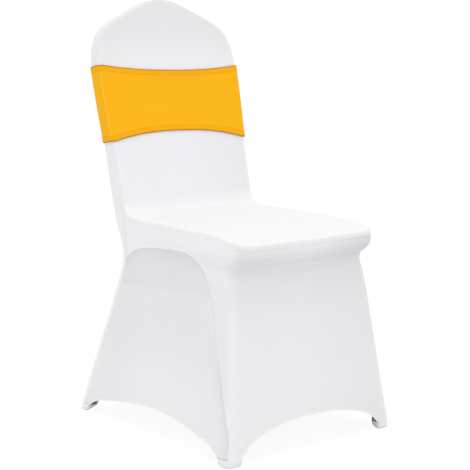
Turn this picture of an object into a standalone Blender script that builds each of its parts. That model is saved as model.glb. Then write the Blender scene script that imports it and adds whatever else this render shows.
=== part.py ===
# Fitted stretch cover for a crown-back banquet chair, with a plain sash band.
# Metres, +Z up. The cover faces -Y, and the origin is on the floor under the middle of its box.
#
# Every panel is a smooth open surface for x >= 0, mirrored to the other side and thickened
# inwards. Panels that are sewn together share the points of their seam, and each stops
# half a seam gap short of it.

import bpy
import bmesh
import math
import numpy as np
from mathutils import Matrix

# ---- cloth ----
CLOTH = 0.0015            # thickness of the knitted panels
SEAM_GAP = 0.0004         # left between two panels at a seam
NARROW_ROW = 0.0030       # width of the faces next to a seam

# ---- seat and backrest planes that the cover is stretched over ----
SEAT_TOP = 0.4660
SEAT_FRONT = -0.2425      # front edge of the seat, where the path over the seat begins
SEAT_DROP = 0.0150        # how far the seat falls at its front edge
DROP_START = -0.1300      # y where it begins to fall
BACK_BASE = 0.1787        # y where the plane of the backrest meets the seat
BACK_SLOPE = 0.2465       # y gained for each metre of height
LAP_RADIUS = 0.0400       # round inside corner between seat and backrest
JUNCTION_SHARE = 0.6      # how far round it the seam between front and back panel lies
EDGE_RADIUS = 0.0090      # rounding at the edge of the seat and the backrest
EDGE_LIP = 0.0010         # straight cloth between that rounding and the seam
EDGE_DEPTH = EDGE_RADIUS + EDGE_LIP
SEAT_PUFF = 0.0050        # crown of the padding
BACK_PUFF = 0.0035

# ---- feet ----
SOLE_TOP = 0.0160         # height of the foot pockets
FOOT_RADIUS = 0.0195
SOLE_ROUND = 0.0045       # rounding under the foot
SOLE_CLOTH = 0.0022       # the pockets are reinforced
FRONT_SOLE_LIFT = 0.0115  # how far the inner side is drawn up; the outer half is flat
REAR_SOLE_LIFT = 0.0010

# ---- hems: height of the arch at its middle and its reach on the floor ----
FRONT_HEM_RISE = 0.0695
FRONT_HEM_REACH = 0.1930
FRONT_HEM_POWER = 2.6
BACK_HEM_RISE = 0.0690
BACK_HEM_REACH = 0.2040
SIDE_HEM_RISE = 0.0590
SIDE_HEM_MIDDLE = 0.0200
SIDE_HEM_REACH = 0.2370
SIDE_HEM_POWER = 1.8
HEM_END_SHARE = 0.3       # share of each arch's height that is lost close to the feet
HEM_END_POWER = 14.0


def table(columns, rows):
    return dict(zip(columns, np.array(rows, dtype=float).T))


# Corner of the cover over a front leg, from the floor up past the tuck under the seat
# to the swell of the seat's edge.
FRONT_CORNER = table(
    ("z", "x", "y", "radius", "sag"), (
        (0.000, 0.2335, -0.2567, 0.0195, 0.000),
        (0.030, 0.2297, -0.2532, 0.0196, 0.002),
        (0.115, 0.2200, -0.2437, 0.0205, 0.005),
        (0.190, 0.2118, -0.2353, 0.0220, 0.006),
        (0.247, 0.2056, -0.2288, 0.0240, 0.006),
        (0.322, 0.1972, -0.2208, 0.0280, 0.005),
        (0.360, 0.1918, -0.2168, 0.0320, 0.003),
        (0.387, 0.1882, -0.2145, 0.0360, 0.001),
        (0.398, 0.1892, -0.2205, 0.0390, -0.002),
        (0.412, 0.1930, -0.2360, 0.0420, -0.004),
        (0.426, 0.1953, -0.2452, 0.0450, -0.004),
        (0.440, 0.1945, -0.2462, 0.0450, -0.003),
        (0.456, 0.1930, -0.2450, 0.0450, -0.002),
    ))

# Outline of the cover seen from behind, from a rear foot over the shoulder to the top
# of the crown, with the depth and rounding of its rear corner.
BACK_OUTLINE = table(
    ("x", "z", "rear", "radius", "sag"), (
        (0.2445, 0.000, 0.3005, 0.0195, 0.000),
        (0.2402, 0.030, 0.2945, 0.0196, 0.003),
        (0.2314, 0.083, 0.2809, 0.0200, 0.008),
        (0.2221, 0.142, 0.2635, 0.0205, 0.012),
        (0.2097, 0.221, 0.2384, 0.0210, 0.015),
        (0.1976, 0.298, 0.2165, 0.0220, 0.014),
        (0.1925, 0.336, 0.2055, 0.0225, 0.011),
        (0.1893, 0.368, 0.1992, 0.0220, 0.006),
        (0.1878, 0.400, 0.2030, 0.0200, 0.002),
        (0.1870, 0.443, 0.2225, 0.0180, 0.000),
        (0.1866, 0.497, 0.2385, 0.0160, -0.002),
        (0.1872, 0.551, 0.2505, 0.0150, -0.003),
        (0.1900, 0.6245, 0.2645, 0.0145, -0.003),
        (0.1940, 0.710, 0.2835, 0.0140, -0.003),
        (0.1962, 0.780, 0.2990, 0.0140, -0.003),
        (0.1955, 0.810, 0.3060, 0.0140, -0.003),
        (0.1910, 0.836, 0.3125, 0.0140, -0.003),
        (0.1835, 0.859, 0.3185, 0.0140, -0.002),
        (0.1712, 0.8782, 0.3230, 0.0140, -0.002),
        (0.1485, 0.8965, 0.3270, 0.0140, -0.001),
        (0.1090, 0.9160, 0.3310, 0.0140, -0.001),
        (0.0680, 0.9350, 0.3345, 0.0140, 0.000),
        (0.0330, 0.9480, 0.3370, 0.0140, 0.000),
        (0.0000, 0.9530, 0.3380, 0.0140, 0.000),
    ))
CROWN_FALL = 0.0025       # the crown's rear edge is this much lower than its outline
SHOULDER_ROW = 17         # row of the outline where the crown begins

# Side seam of the front panel: up the front leg, over the arch, to the rear leg.
SIDE_SEAM = table(
    ("y", "z"), (
        (-0.2478, 0.0163),
        (-0.2440, 0.060),
        (-0.2310, 0.110),
        (-0.2165, 0.150),
        (-0.2000, 0.192),
        (-0.1835, 0.240),
        (-0.1675, 0.291),
        (-0.1525, 0.332),
        (-0.1400, 0.355),
        (-0.1190, 0.383),
        (-0.0870, 0.406),
        (-0.0500, 0.4150),
        (0.0100, 0.4135),
        (0.0750, 0.4080),
        (0.1200, 0.4005),
        (0.1500, 0.3885),
        (0.1692, 0.3700),
    ))
REAR_SEAM_SETBACK = 0.004 # from the rounding of the rear leg to the seam in front of it
ARCH_SPRING = 0.3550      # height on the front leg where the arch begins
SIDE_SEAM_SPRING_Y = -0.1500      # y on the edge of the seat above that place

# How far the side cloth is drawn in between the legs.
SIDE_SAG = table(
    ("z", "depth"), (
        (0.000, 0.006),
        (0.050, 0.012),
        (0.120, 0.017),
        (0.200, 0.018),
        (0.300, 0.014),
        (0.370, 0.007),
        (0.420, 0.002),
        (0.470, 0.001),
    ))

# ---- sash ----
SASH_CLOTH = 0.0012
SASH_CLEAR = 0.0006       # from the cover to the inside of the sash
SASH_TOP = 0.7980         # at the front corners of the backrest
SASH_BOTTOM = 0.6287
SASH_TILT = 0.0080        # how much lower it lies behind
SASH_TILT_AT = (0.0, 0.2, 0.7, 1.0)       # share of that at each end of the corners and side
SASH_TOP_DIP = 0.0110     # how far each edge is drawn in at the middle
SASH_BOTTOM_RISE = 0.0200
SASH_WAIST_POWER = 2.4

# The middle of the whole cover's box from front to back, which is put over the origin.
BOX_MIDDLE = 0.0393

# ---- divisions ----
FRONT_STEPS = 6           # across half the front
CORNER_STEPS = 6          # around a front corner of the seat
NEAR_STEPS = 2            # from that corner to where the arch springs
ARCH_STEPS = 16           # along the arch, and along the seat above it
LEG_STEPS = 8             # up a leg
RIM_STEPS = 8             # down from the edge of the seat
EDGE_STEPS = 3            # around a rounded edge
JUNCTION_STEPS = 4        # down the seam from the backrest's foot to the arch
LAP_STEPS = 3             # rest of the inside corner, behind that seam
BACK_STEPS = 9            # up the backrest
CROWN_STEPS = 9           # from shoulder to the top of the crown
GUSSET_ROWS = 7
SASH_ROWS = 6
SASH_FLAT_STEPS = 6
SASH_CORNER_STEPS = 3
SOLE_STEPS = 20
SEAM_CROWDING = 1.25      # draws the columns around a front leg towards the side seam
GUSSET_HEM_ROW = 0.12     # height of the gusset's rows along its hem and its seam, of 1
GUSSET_SEAM_ROW = 0.07
BEND_FADE = 5            # how fast the bend of a hem or the crown dies out in a panel

MATERIALS = {
    "cover_cloth": ((0.86, 0.86, 0.87), 0.62),
    "sole_cloth": ((0.62, 0.62, 0.63), 0.80),
    "sash_cloth": ((0.95, 0.45, 0.015), 0.55),
}


# ---- curves ----

def hermite(at, positions, values):
    """Value of a smooth curve through (positions, values), positions rising."""
    slopes = np.gradient(values, positions)
    at = np.clip(at, positions[0], positions[-1])
    i = int(np.clip(np.searchsorted(positions, at) - 1, 0, len(positions) - 2))
    width = positions[i + 1] - positions[i]
    t = (at - positions[i]) / width
    start = (1 + 2 * t) * (1 - t) ** 2 * values[i] + t * (1 - t) ** 2 * width * slopes[i]
    end = t * t * (3 - 2 * t) * values[i + 1] + t * t * (t - 1) * width * slopes[i + 1]
    return start + end


def read(source, column, height):
    return hermite(height, source["z"], source[column])


def along(source, columns, fractions, mirrored_end=False):
    """Points of the smooth curve through a table's rows, at fractions of its rows. With
    mirrored_end the curve goes on past x = 0, so that it crosses the middle level."""
    points = []
    for column in columns:
        values = source[column]
        if mirrored_end:
            beyond = -values[-2] if column == "x" else values[-2]
            values = np.append(values, beyond)
        rows = np.arange(len(values), dtype=float)
        points.append([hermite(f, rows, values) for f in fractions])
    return np.array(points).T


def even_steps(points, count):
    """The polyline's points again, evenly spaced along it in count steps."""
    lengths = np.linalg.norm(np.diff(points, axis=0), axis=1)
    distance = np.concatenate(([0.0], np.cumsum(lengths)))
    wanted = np.linspace(0.0, distance[-1], count + 1)
    return np.array([np.interp(wanted, distance, column) for column in points.T]).T


def smoothstep(low, high, value):
    t = min(max((value - low) / (high - low), 0.0), 1.0)
    return t * t * (3 - 2 * t)


# ---- the stretched body, as level sections ----

def front_corner(z):
    return [float(read(FRONT_CORNER, name, z)) for name in ("x", "y", "radius", "sag")]


def below_shoulder(column, z):
    rows = SHOULDER_ROW
    return float(hermite(z, BACK_OUTLINE["z"][:rows], BACK_OUTLINE[column][:rows]))


def rear_corner(z):
    return [below_shoulder(name, z) for name in ("x", "rear", "radius", "sag")]


def side_x(y, z):
    """How far out the side of the cover stands."""
    front_x, front_y, front_radius, _ = front_corner(z)
    rear_x, rear_y, rear_radius, _ = rear_corner(z)
    start = front_y + front_radius
    end = rear_y - rear_radius
    t = min(max((y - start) / (end - start), 0.0), 1.0)
    sag = float(read(SIDE_SAG, "depth", z)) * math.sin(math.pi * t) ** 2
    low = front_x + (rear_x - front_x) * t - sag
    blend = smoothstep(SEAT_TOP - LAP_RADIUS / 2, SEAT_TOP + LAP_RADIUS, z)
    return low + (rear_x - low) * blend


def body_point(u, z):
    """A point of the cover at height z: u is 0 at the middle of the front, 1 to 2 around
    a front leg, 2 to 3 along the side, 3 to 4 around a rear leg, 5 at the middle behind."""
    front_x, front_y, front_radius, front_sag = front_corner(z)
    rear_x, rear_y, rear_radius, rear_sag = rear_corner(z)
    if u <= 1.0:
        x = u * (front_x - front_radius)
        y = front_y + front_sag * math.cos(math.pi * u / 2) ** 2
    elif u <= 2.0:
        turn = (u - 1.0) * math.pi / 2
        x = front_x - front_radius + front_radius * math.sin(turn)
        y = front_y + front_radius - front_radius * math.cos(turn)
    elif u <= 3.0:
        start = front_y + front_radius
        end = rear_y - rear_radius
        y = start + (end - start) * (u - 2.0)
        x = side_x(y, z)
    elif u <= 4.0:
        turn = (u - 3.0) * math.pi / 2
        x = rear_x - rear_radius + rear_radius * math.cos(turn)
        y = rear_y - rear_radius + rear_radius * math.sin(turn)
    else:
        t = u - 4.0
        x = (rear_x - rear_radius) * (1.0 - t)
        y = rear_y - rear_sag * math.sin(math.pi * t / 2) ** 2
    return np.array((x, y, z))


def u_at(y, z):
    """Where on the section at height z the side of the cover has this y."""
    _, front_y, front_radius, _ = front_corner(z)
    _, rear_y, rear_radius, _ = rear_corner(z)
    start = front_y + front_radius
    end = rear_y - rear_radius
    if y <= start:
        return 1.0 + math.acos(min(max((start - y) / front_radius, -1.0), 1.0)) * 2 / math.pi
    if y >= end:
        return 3.0 + math.asin(min(max((y - end) / rear_radius, -1.0), 1.0)) * 2 / math.pi
    return 2.0 + (y - start) / (end - start)


# ---- the path over the seat and up the backrest, in the plane x = 0 ----

LEAN = math.atan(BACK_SLOPE)
LAP_TURN = math.pi / 2 - LEAN
LAP_TANGENT = LAP_RADIUS * math.tan(LAP_TURN / 2)
LAP_START = BACK_BASE - LAP_TANGENT - SEAT_FRONT
LAP_END = LAP_START + LAP_RADIUS * LAP_TURN


def seat_height(y):
    return SEAT_TOP - SEAT_DROP * max((DROP_START - y) / (DROP_START - SEAT_FRONT), 0.0) ** 2


def path(s):
    """Point (y, z) and normal (y, z) at distance s from the front edge of the seat."""
    if s <= LAP_START:
        y = SEAT_FRONT + s
        return (y, seat_height(y)), (0.0, 1.0)
    if s <= LAP_END:
        turn = (s - LAP_START) / LAP_RADIUS
        y = SEAT_FRONT + LAP_START + LAP_RADIUS * math.sin(turn)
        return (y, SEAT_TOP + LAP_RADIUS * (1 - math.cos(turn))), (-math.sin(turn), math.cos(turn))
    rise = LAP_TANGENT + s - LAP_END
    y = BACK_BASE + rise * math.sin(LEAN)
    return (y, SEAT_TOP + rise * math.cos(LEAN)), (-math.cos(LEAN), math.sin(LEAN))


def path_at_height(z):
    """Distance s at which the plane of the backrest is at height z."""
    return LAP_END - LAP_TANGENT + (z - SEAT_TOP) / math.cos(LEAN)


def top_point(x, s, depth=0.0):
    """A point over the seat or on the inside back, depth below that surface."""
    (y, z), (normal_y, normal_z) = path(s)
    return np.array((x, y - normal_y * depth, z - normal_z * depth))


# ---- meshes ----

def add_grid(mesh, points, flip=False):
    """Quads between neighbouring points of a grid; shared edges are welded later."""
    rows, columns = points.shape[:2]
    verts = [[mesh.verts.new(points[i, j]) for j in range(columns)] for i in range(rows)]
    for i in range(rows - 1):
        for j in range(columns - 1):
            loop = [verts[i][j], verts[i + 1][j], verts[i + 1][j + 1], verts[i][j + 1]]
            mesh.faces.new(loop[::-1] if flip else loop)


def coons(bottom, top, left, right, across, up, ease):
    """Patch inside four curves that share their corners. bottom and top run left to right;
    across and up are the fractions at which their points lie. The bends of bottom and top
    fade out towards each other, faster for a larger ease."""
    patch = np.zeros((len(across), len(up), bottom.shape[1]))
    for i, a in enumerate(across):
        bottom_bend = bottom[i] - ((1 - a) * bottom[0] + a * bottom[-1])
        top_bend = top[i] - ((1 - a) * top[0] + a * top[-1])
        for j, b in enumerate(up):
            patch[i, j] = ((1 - a) * left[j] + a * right[j]
                           + (1 - b) ** ease * bottom_bend + b ** ease * top_bend)
    return patch


def collection(name):
    group = bpy.data.collections.new(name)
    bpy.context.scene.collection.children.link(group)
    return group


def material(name):
    colour, roughness = MATERIALS[name]
    made = bpy.data.materials.new(name)
    made.use_nodes = True
    surface = made.node_tree.nodes["Principled BSDF"]
    surface.inputs["Base Color"].default_value = (*colour, 1.0)
    surface.inputs["Roughness"].default_value = roughness
    surface.inputs["Metallic"].default_value = 0.0
    return made


def cloth_object(name, grids, group, look, thickness=CLOTH, mirror=True, mirror_mesh=False):
    """One panel: its grids welded, mirrored if it spans the middle, and thickened inwards."""
    mesh = bmesh.new()
    for points, flip in grids:
        if mirror_mesh:
            points = points * np.array((-1.0, 1.0, 1.0))
        add_grid(mesh, points, flip != mirror_mesh)
    bmesh.ops.remove_doubles(mesh, verts=mesh.verts, dist=0.00002)
    data = bpy.data.meshes.new(name)
    mesh.to_mesh(data)
    mesh.free()
    data.shade_smooth()
    panel = bpy.data.objects.new(name, data)
    data.materials.append(look)
    group.objects.link(panel)
    if mirror:
        halves = panel.modifiers.new("other half", "MIRROR")
        halves.merge_threshold = 0.0001
    sheet = panel.modifiers.new("cloth", "SOLIDIFY")
    sheet.thickness = thickness
    sheet.offset = -1.0
    return panel


# ---- seams, shared by the panels on both sides ----

def side_seam_samples():
    """(y, z) along the side seam: first up the leg, then over the arch."""
    rows = np.linspace(0, len(SIDE_SEAM["y"]) - 1, 400)
    curve = along(SIDE_SEAM, ("y", "z"), rows)
    spring = int(np.argmax(curve[:, 1] >= ARCH_SPRING))
    leg = even_steps(curve[:spring + 1], LEG_STEPS)
    arch = even_steps(curve[spring:], ARCH_STEPS)
    return leg, arch


def rear_seam_y(z):
    _, rear_y, rear_radius, _ = rear_corner(z)
    return rear_y - rear_radius - REAR_SEAM_SETBACK


def rear_seam_samples():
    """(y, z) down the rear leg, from the end of the arch to the foot."""
    heights = np.linspace(SIDE_SEAM["z"][-1], SIDE_SEAM["z"][0], LEG_STEPS + 1)
    seam = np.array([(rear_seam_y(z), z) for z in heights])
    seam[0] = (SIDE_SEAM["y"][-1], SIDE_SEAM["z"][-1])
    return seam


def junction_distance():
    """Distance along the path where the seam between front and back panel meets the edge."""
    return LAP_START + LAP_RADIUS * LAP_TURN * JUNCTION_SHARE


def edge_point(s):
    """(y, z) of the edge seam beside the path at s."""
    _, y, z = top_point(0.0, s, EDGE_DEPTH)
    return y, z


def front_edge(u):
    """Point of the edge seam around the front of the seat, and its outward direction."""
    z = SEAT_TOP - EDGE_DEPTH
    for _ in range(6):
        if u < 0.01:
            outward = np.array((0.0, -1.0, 0.0))
        else:
            tangent = body_point(u + 0.01, z) - body_point(u - 0.01, z)
            outward = np.array((tangent[1], -tangent[0], 0.0))
            outward /= np.linalg.norm(outward)
        inset = body_point(u, z) - outward * EDGE_RADIUS
        z = seat_height(inset[1]) - EDGE_DEPTH
    return body_point(u, z), outward


UP = np.array((0.0, 0.0, 1.0))
SIDEWAYS = np.array((1.0, 0.0, 0.0))


def front_rows():
    """Edge seam from the middle of the front to the end of the rounded corner."""
    flat = np.linspace(0.0, 1.0, FRONT_STEPS + 1)
    around = np.linspace(1.0, 2.0, CORNER_STEPS + 1)[1:]
    rows = []
    for u in np.concatenate((flat, around)):
        point, outward = front_edge(u)
        rows.append((point, outward, UP))
    return rows


def side_row(s):
    y, z = edge_point(s)
    _, normal = path(s)
    point = np.array((side_x(y, z), y, z))
    return point, SIDEWAYS, np.array((0.0, normal[0], normal[1]))


def seat_side_rows():
    """Edge seam beside the seat, back to the seam between front and back panel."""
    corner_end = front_edge(2.0)[0][1] - SEAT_FRONT
    spring = SIDE_SEAM_SPRING_Y - SEAT_FRONT
    near = np.linspace(corner_end, spring, NEAR_STEPS + 1)[1:]
    above_arch = np.linspace(spring, junction_distance(), ARCH_STEPS + 1)[1:]
    return [side_row(s) for s in np.concatenate((near, above_arch))]


def back_side_rows():
    """Edge seam from there up the backrest, ending below the shoulder."""
    lap = np.linspace(junction_distance(), LAP_END, LAP_STEPS + 1)[1:]
    shoulder = path_at_height(BACK_OUTLINE["z"][SHOULDER_ROW - 1])
    back = np.linspace(LAP_END, shoulder, BACK_STEPS + 1)[1:-1]
    return [side_row(s) for s in np.concatenate((lap, back))]


def crown_outline():
    """(x, z) of the outline from the shoulder to the top, and its outward direction."""
    last = len(BACK_OUTLINE["x"]) - 1
    fractions = np.linspace(SHOULDER_ROW - 1, last, 200)
    curve = along(BACK_OUTLINE, ("x", "z"), fractions, mirrored_end=True)
    finer = 8
    fine = even_steps(curve, CROWN_STEPS * finer)
    samples = []
    for row in range(CROWN_STEPS + 1):
        here = row * finer
        before = fine[max(here - 3, 0)]
        after = fine[min(here + 3, len(fine) - 1)]
        tangent = after - before
        if row == CROWN_STEPS:
            tangent = np.array((-1.0, 0.0))
        outward = np.array((tangent[1], -tangent[0]))
        samples.append((fine[here], outward / np.linalg.norm(outward)))
    return samples


def crown_rows():
    """Edge seam over the crown, from the shoulder to the top."""
    slope = np.array((0.0, math.sin(LEAN), math.cos(LEAN)))
    rows = []
    for (x, z), outward in crown_outline():
        s = path_at_height(z) - outward[1] * EDGE_RADIUS
        _, normal = path(s)
        up = np.array((0.0, normal[0], normal[1]))
        out = SIDEWAYS * outward[0] + slope * outward[1]
        inset = top_point(x - outward[0] * EDGE_RADIUS, s)
        rows.append((inset + out * EDGE_RADIUS - up * EDGE_DEPTH, out, up))
    return rows


def shifted(points, amount):
    """A flat polyline moved sideways by amount, to its left."""
    tangents = np.gradient(points, axis=0)
    tangents /= np.linalg.norm(tangents, axis=1)[:, None]
    return points + amount * np.stack((-tangents[:, 1], tangents[:, 0]), axis=1)


def on_side(y, z):
    return body_point(u_at(y, z), z)


# ---- panels ----

def rounded_edge(row):
    """Points from the flat of the seat or backrest over its rounded edge to the seam."""
    seam, outward, up = row
    points = []
    for turn in np.linspace(0.0, math.pi / 2, EDGE_STEPS + 1):
        height = EDGE_LIP + EDGE_RADIUS * math.cos(turn)
        points.append(seam + up * height - outward * EDGE_RADIUS * (1 - math.sin(turn)))
    points.append(seam + up * SEAM_GAP / 2)
    return points


def puff(x, s, half_width):
    """Swell of the padding under the cloth, none at the edges."""
    across = max(1.0 - (x / half_width) ** 2, 0.0) ** 1.5
    seat = math.sin(math.pi * min(s / LAP_END, 1.0)) ** 1.5 * SEAT_PUFF
    back_length = path_at_height(BACK_OUTLINE["z"][-1] - EDGE_RADIUS) - LAP_END
    rise = min(max((s - LAP_END) / back_length, 0.0), 1.0)
    back = math.sin(math.pi * rise) * BACK_PUFF
    return across * (seat + back)


def top_panel(group, look):
    """Seat top and inside back in one piece, rolled over the edge all the way round."""
    rows = front_rows() + seat_side_rows() + back_side_rows() + crown_rows()
    edge = np.array([rounded_edge(row) for row in rows])
    corner = CROWN_STEPS
    shoulder = len(rows) - 1 - CROWN_STEPS
    flat = np.array([(point[0], path_distance(point)) for point in edge[:, 0]])
    bottom = flat[:corner + 1]
    right = flat[corner:shoulder + 1]
    top = flat[shoulder:][::-1]
    up = np.linspace(0.0, 1.0, len(right))
    lift = np.clip((right[:, 1] - LAP_END) / (right[-1, 1] - LAP_END), 0.0, 1.0) ** 2
    left = np.zeros((len(right), 2))
    left[:, 1] = (right[:, 1] + (bottom[0, 1] - right[0, 1]) * (1 - up) ** 4
                  + (top[0, 1] - right[-1, 1]) * lift)
    across = np.linspace(0.0, 1.0, corner + 1)
    patch = coons(bottom, top, left, right, across, up, BEND_FADE)
    points = np.zeros((*patch.shape[:2], 3))
    for i in range(patch.shape[0]):
        for j in range(patch.shape[1]):
            x, s = patch[i, j]
            inside = 0 < j < patch.shape[1] - 1
            rise = puff(x, s, patch[-1, j, 0]) if inside else 0.0
            points[i, j] = top_point(x, s, -rise)
    points[:corner + 1, 0] = edge[:corner + 1, 0]
    points[-1] = edge[corner:shoulder + 1, 0]
    points[:, -1] = edge[shoulder:, 0][::-1]
    return cloth_object("top_panel", [(points, False), (edge, True)], group, look)


def path_distance(point):
    """Distance along the path of a point that lies on the seat or the backrest."""
    _, y, z = point
    if y <= SEAT_FRONT + LAP_START:
        return y - SEAT_FRONT
    centre_z = SEAT_TOP + LAP_RADIUS
    turn = math.atan2(y - SEAT_FRONT - LAP_START, centre_z - z)
    if turn < LAP_TURN and z < centre_z:
        return LAP_START + turn * LAP_RADIUS
    return path_at_height(z)


def hem_height(distance, rise, reach, power):
    across = min(abs(distance) / reach, 1.0)
    drop = (1 - HEM_END_SHARE) * across ** power + HEM_END_SHARE * across ** HEM_END_POWER
    return SOLE_TOP + SEAM_GAP + (rise - SOLE_TOP) * (1 - drop)


def with_narrow_ends(steps, first, last):
    """Fractions from 0 to 1 in even steps but for a narrow first and last one."""
    return np.concatenate(([0.0], np.linspace(first, 1.0 - last, steps - 1), [1.0]))


def skirt_panel(group, look):
    """Front of the skirt and the strips beside the seat, down to the side seams."""
    leg, arch = side_seam_samples()
    leg = shifted(leg, SEAM_GAP / 2)
    arch = shifted(arch, SEAM_GAP / 2)
    arch[0] = leg[-1]
    seam = front_rows() + seat_side_rows()
    tops = [row[0] - UP * SEAM_GAP / 2 for row in seam]
    tops[-1][1] -= SEAM_GAP / 2
    front_count = FRONT_STEPS + CORNER_STEPS + NEAR_STEPS

    flat = np.linspace(0.0, 1.0, FRONT_STEPS + 1)
    even = np.linspace(0.0, 1.0, CORNER_STEPS + NEAR_STEPS + 1)[1:]
    around = 1.0 - (1.0 - even) ** SEAM_CROWDING

    def columns_at(y, z):
        end = u_at(y, z)
        return np.concatenate((flat, 1.0 + (end - 1.0) * around))

    lower = []
    for step, (y, z) in enumerate(leg[::-1]):
        fraction = step / LEG_STEPS
        columns = []
        for u in columns_at(y, z):
            reach = body_point(u, leg[0][1])[0]
            hem = hem_height(reach, FRONT_HEM_RISE, FRONT_HEM_REACH, FRONT_HEM_POWER)
            height = leg[-1][1] + (hem - leg[-1][1]) * fraction
            columns.append(body_point(u, height))
        columns[-1] = on_side(y, z)
        lower.append(columns)
    lower = np.array(lower)

    spring_columns = columns_at(*leg[-1])
    upper = []
    for index, top in enumerate(tops):
        if index <= front_count:
            start_u = u_at(top[1], top[2]) if index > FRONT_STEPS else flat[index]
            end_u = spring_columns[index]
            end_z = leg[-1][1]
        else:
            end_y, end_z = arch[index - front_count]
        length = top[2] - end_z
        column = []
        for fraction in with_narrow_ends(RIM_STEPS, NARROW_ROW / length, NARROW_ROW / length):
            z = top[2] + (end_z - top[2]) * fraction
            if index <= front_count:
                column.append(body_point(start_u + (end_u - start_u) * fraction, z))
            else:
                column.append(on_side(top[1] + (end_y - top[1]) * fraction, z))
        column[0] = top
        upper.append(column)
    upper = np.array(upper)
    upper[:front_count + 1, -1] = lower[0]
    return cloth_object("skirt_panel", [(upper, True), (lower, False)], group, look)


def gusset(name, group, look, mirrored):
    """Arch-topped side panel between the legs."""
    leg, arch = side_seam_samples()
    seam = np.concatenate((leg, arch[1:], rear_seam_samples()[1:]))
    top = shifted(seam, -SEAM_GAP / 2)
    top[0, 1] = seam[0, 1]
    top[-1, 1] = seam[-1, 1]
    count = len(top)
    across = np.linspace(0.0, 1.0, count)
    start = SIDE_HEM_MIDDLE - SIDE_HEM_REACH
    hem_y = np.linspace(start, SIDE_HEM_MIDDLE + SIDE_HEM_REACH, count)
    hem = [hem_height(y - SIDE_HEM_MIDDLE, SIDE_HEM_RISE, SIDE_HEM_REACH, SIDE_HEM_POWER)
           for y in hem_y]
    bottom = np.stack((hem_y, hem), axis=1)
    bottom[0, 1] = top[0, 1]
    bottom[-1, 1] = top[-1, 1]
    up = with_narrow_ends(GUSSET_ROWS, GUSSET_HEM_ROW, GUSSET_SEAM_ROW)
    left = bottom[0] + (top[0] - bottom[0]) * up[:, None]
    right = bottom[-1] + (top[-1] - bottom[-1]) * up[:, None]
    patch = coons(bottom, top, left, right, across, up, 1)
    points = np.array([[on_side(y, z) for y, z in column] for column in patch])
    return cloth_object(name, [(points, False)], group, look, mirror=False, mirror_mesh=mirrored)


def back_panel(group, look):
    """Outside back with the sides of the backrest and the rear of the skirt."""
    rear_seam = shifted(rear_seam_samples(), SEAM_GAP / 2)[::-1]
    rear_seam[0, 1] = SIDE_SEAM["z"][0]
    junction_top = side_row(junction_distance())[0]
    end = rear_seam[-1]
    junction = [end + (junction_top[1:] - end) * f for f in np.linspace(0, 1, JUNCTION_STEPS + 1)[1:]]
    shift = SEAM_GAP / 2
    seams = [on_side(y, z) for y, z in rear_seam]
    seams += [on_side(y + shift, z) for y, z in junction]
    for point, _, up in back_side_rows():
        seams.append(point - up * shift)
    side_count = len(seams)

    strip = []
    for seam in seams:
        z = seam[2]
        turns = [body_point(4.0 - f, z) for f in np.linspace(0.0, 1.0, EDGE_STEPS + 1)]
        strip.append(turns + side_steps(turns[-1], seam))
    for (point, _, up), ((x, z), outward) in zip(crown_rows(), crown_outline()):
        radius = float(BACK_OUTLINE["radius"][-1])
        inset_x = x - outward[0] * radius
        inset_z = z - CROWN_FALL - outward[1] * radius
        rear = float(read(BACK_OUTLINE, "rear", inset_z))
        turns = []
        for turn in np.linspace(0.0, math.pi / 2, EDGE_STEPS + 1):
            reach = radius * math.sin(turn)
            turns.append(np.array((inset_x + outward[0] * reach,
                                   rear - radius * (1 - math.cos(turn)),
                                   inset_z + outward[1] * reach)))
        strip.append(turns + side_steps(turns[-1], point - up * shift))
    strip = np.array(strip)
    strip[-1, :, 0] = 0.0

    right = strip[:side_count + 1, 0][:, [0, 2]]
    top = strip[side_count:, 0][::-1][:, [0, 2]]
    hem_x = np.linspace(0.0, right[0, 0], CROWN_STEPS + 1)
    hem_z = [hem_height(x, BACK_HEM_RISE, BACK_HEM_REACH, FRONT_HEM_POWER) for x in hem_x]
    bottom = np.stack((hem_x, hem_z), axis=1)
    bottom[-1] = right[0]
    up = np.linspace(0.0, 1.0, len(right))
    lift = np.clip((right[:, 1] - SEAT_TOP) / (right[-1, 1] - SEAT_TOP), 0.0, 1.0) ** 2
    left = np.zeros((len(right), 2))
    left[:, 1] = (right[:, 1] + (bottom[0, 1] - right[0, 1]) * (1 - up) ** 3
                  + (top[0, 1] - right[-1, 1]) * lift)
    across = np.linspace(0.0, 1.0, CROWN_STEPS + 1)
    patch = coons(bottom, top, left, right, across, up, BEND_FADE)
    points = np.zeros((*patch.shape[:2], 3))
    for i, a in enumerate(across):
        for j in range(len(up)):
            x, z = patch[i, j]
            sag = float(read(BACK_OUTLINE, "sag", z)) * math.sin(math.pi * (1 - a) / 2) ** 2
            points[i, j] = (x, float(read(BACK_OUTLINE, "rear", z)) - sag, z)
    points[-1] = strip[:side_count + 1, 0]
    points[:, -1] = strip[side_count:, 0][::-1]
    return cloth_object("back_panel", [(points, True), (strip, False)], group, look)


def side_steps(start, seam):
    """Points across the side, the last step a narrow one along the surface there."""
    run = seam - start
    near_seam = 1.0 - NARROW_ROW / np.linalg.norm(run)
    points = []
    for f in (near_seam / 2, near_seam):
        point = start + run * f
        if seam[2] < SASH_TOP:
            point = on_side(point[1], point[2])
        points.append(point)
    return points + [seam]


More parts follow.
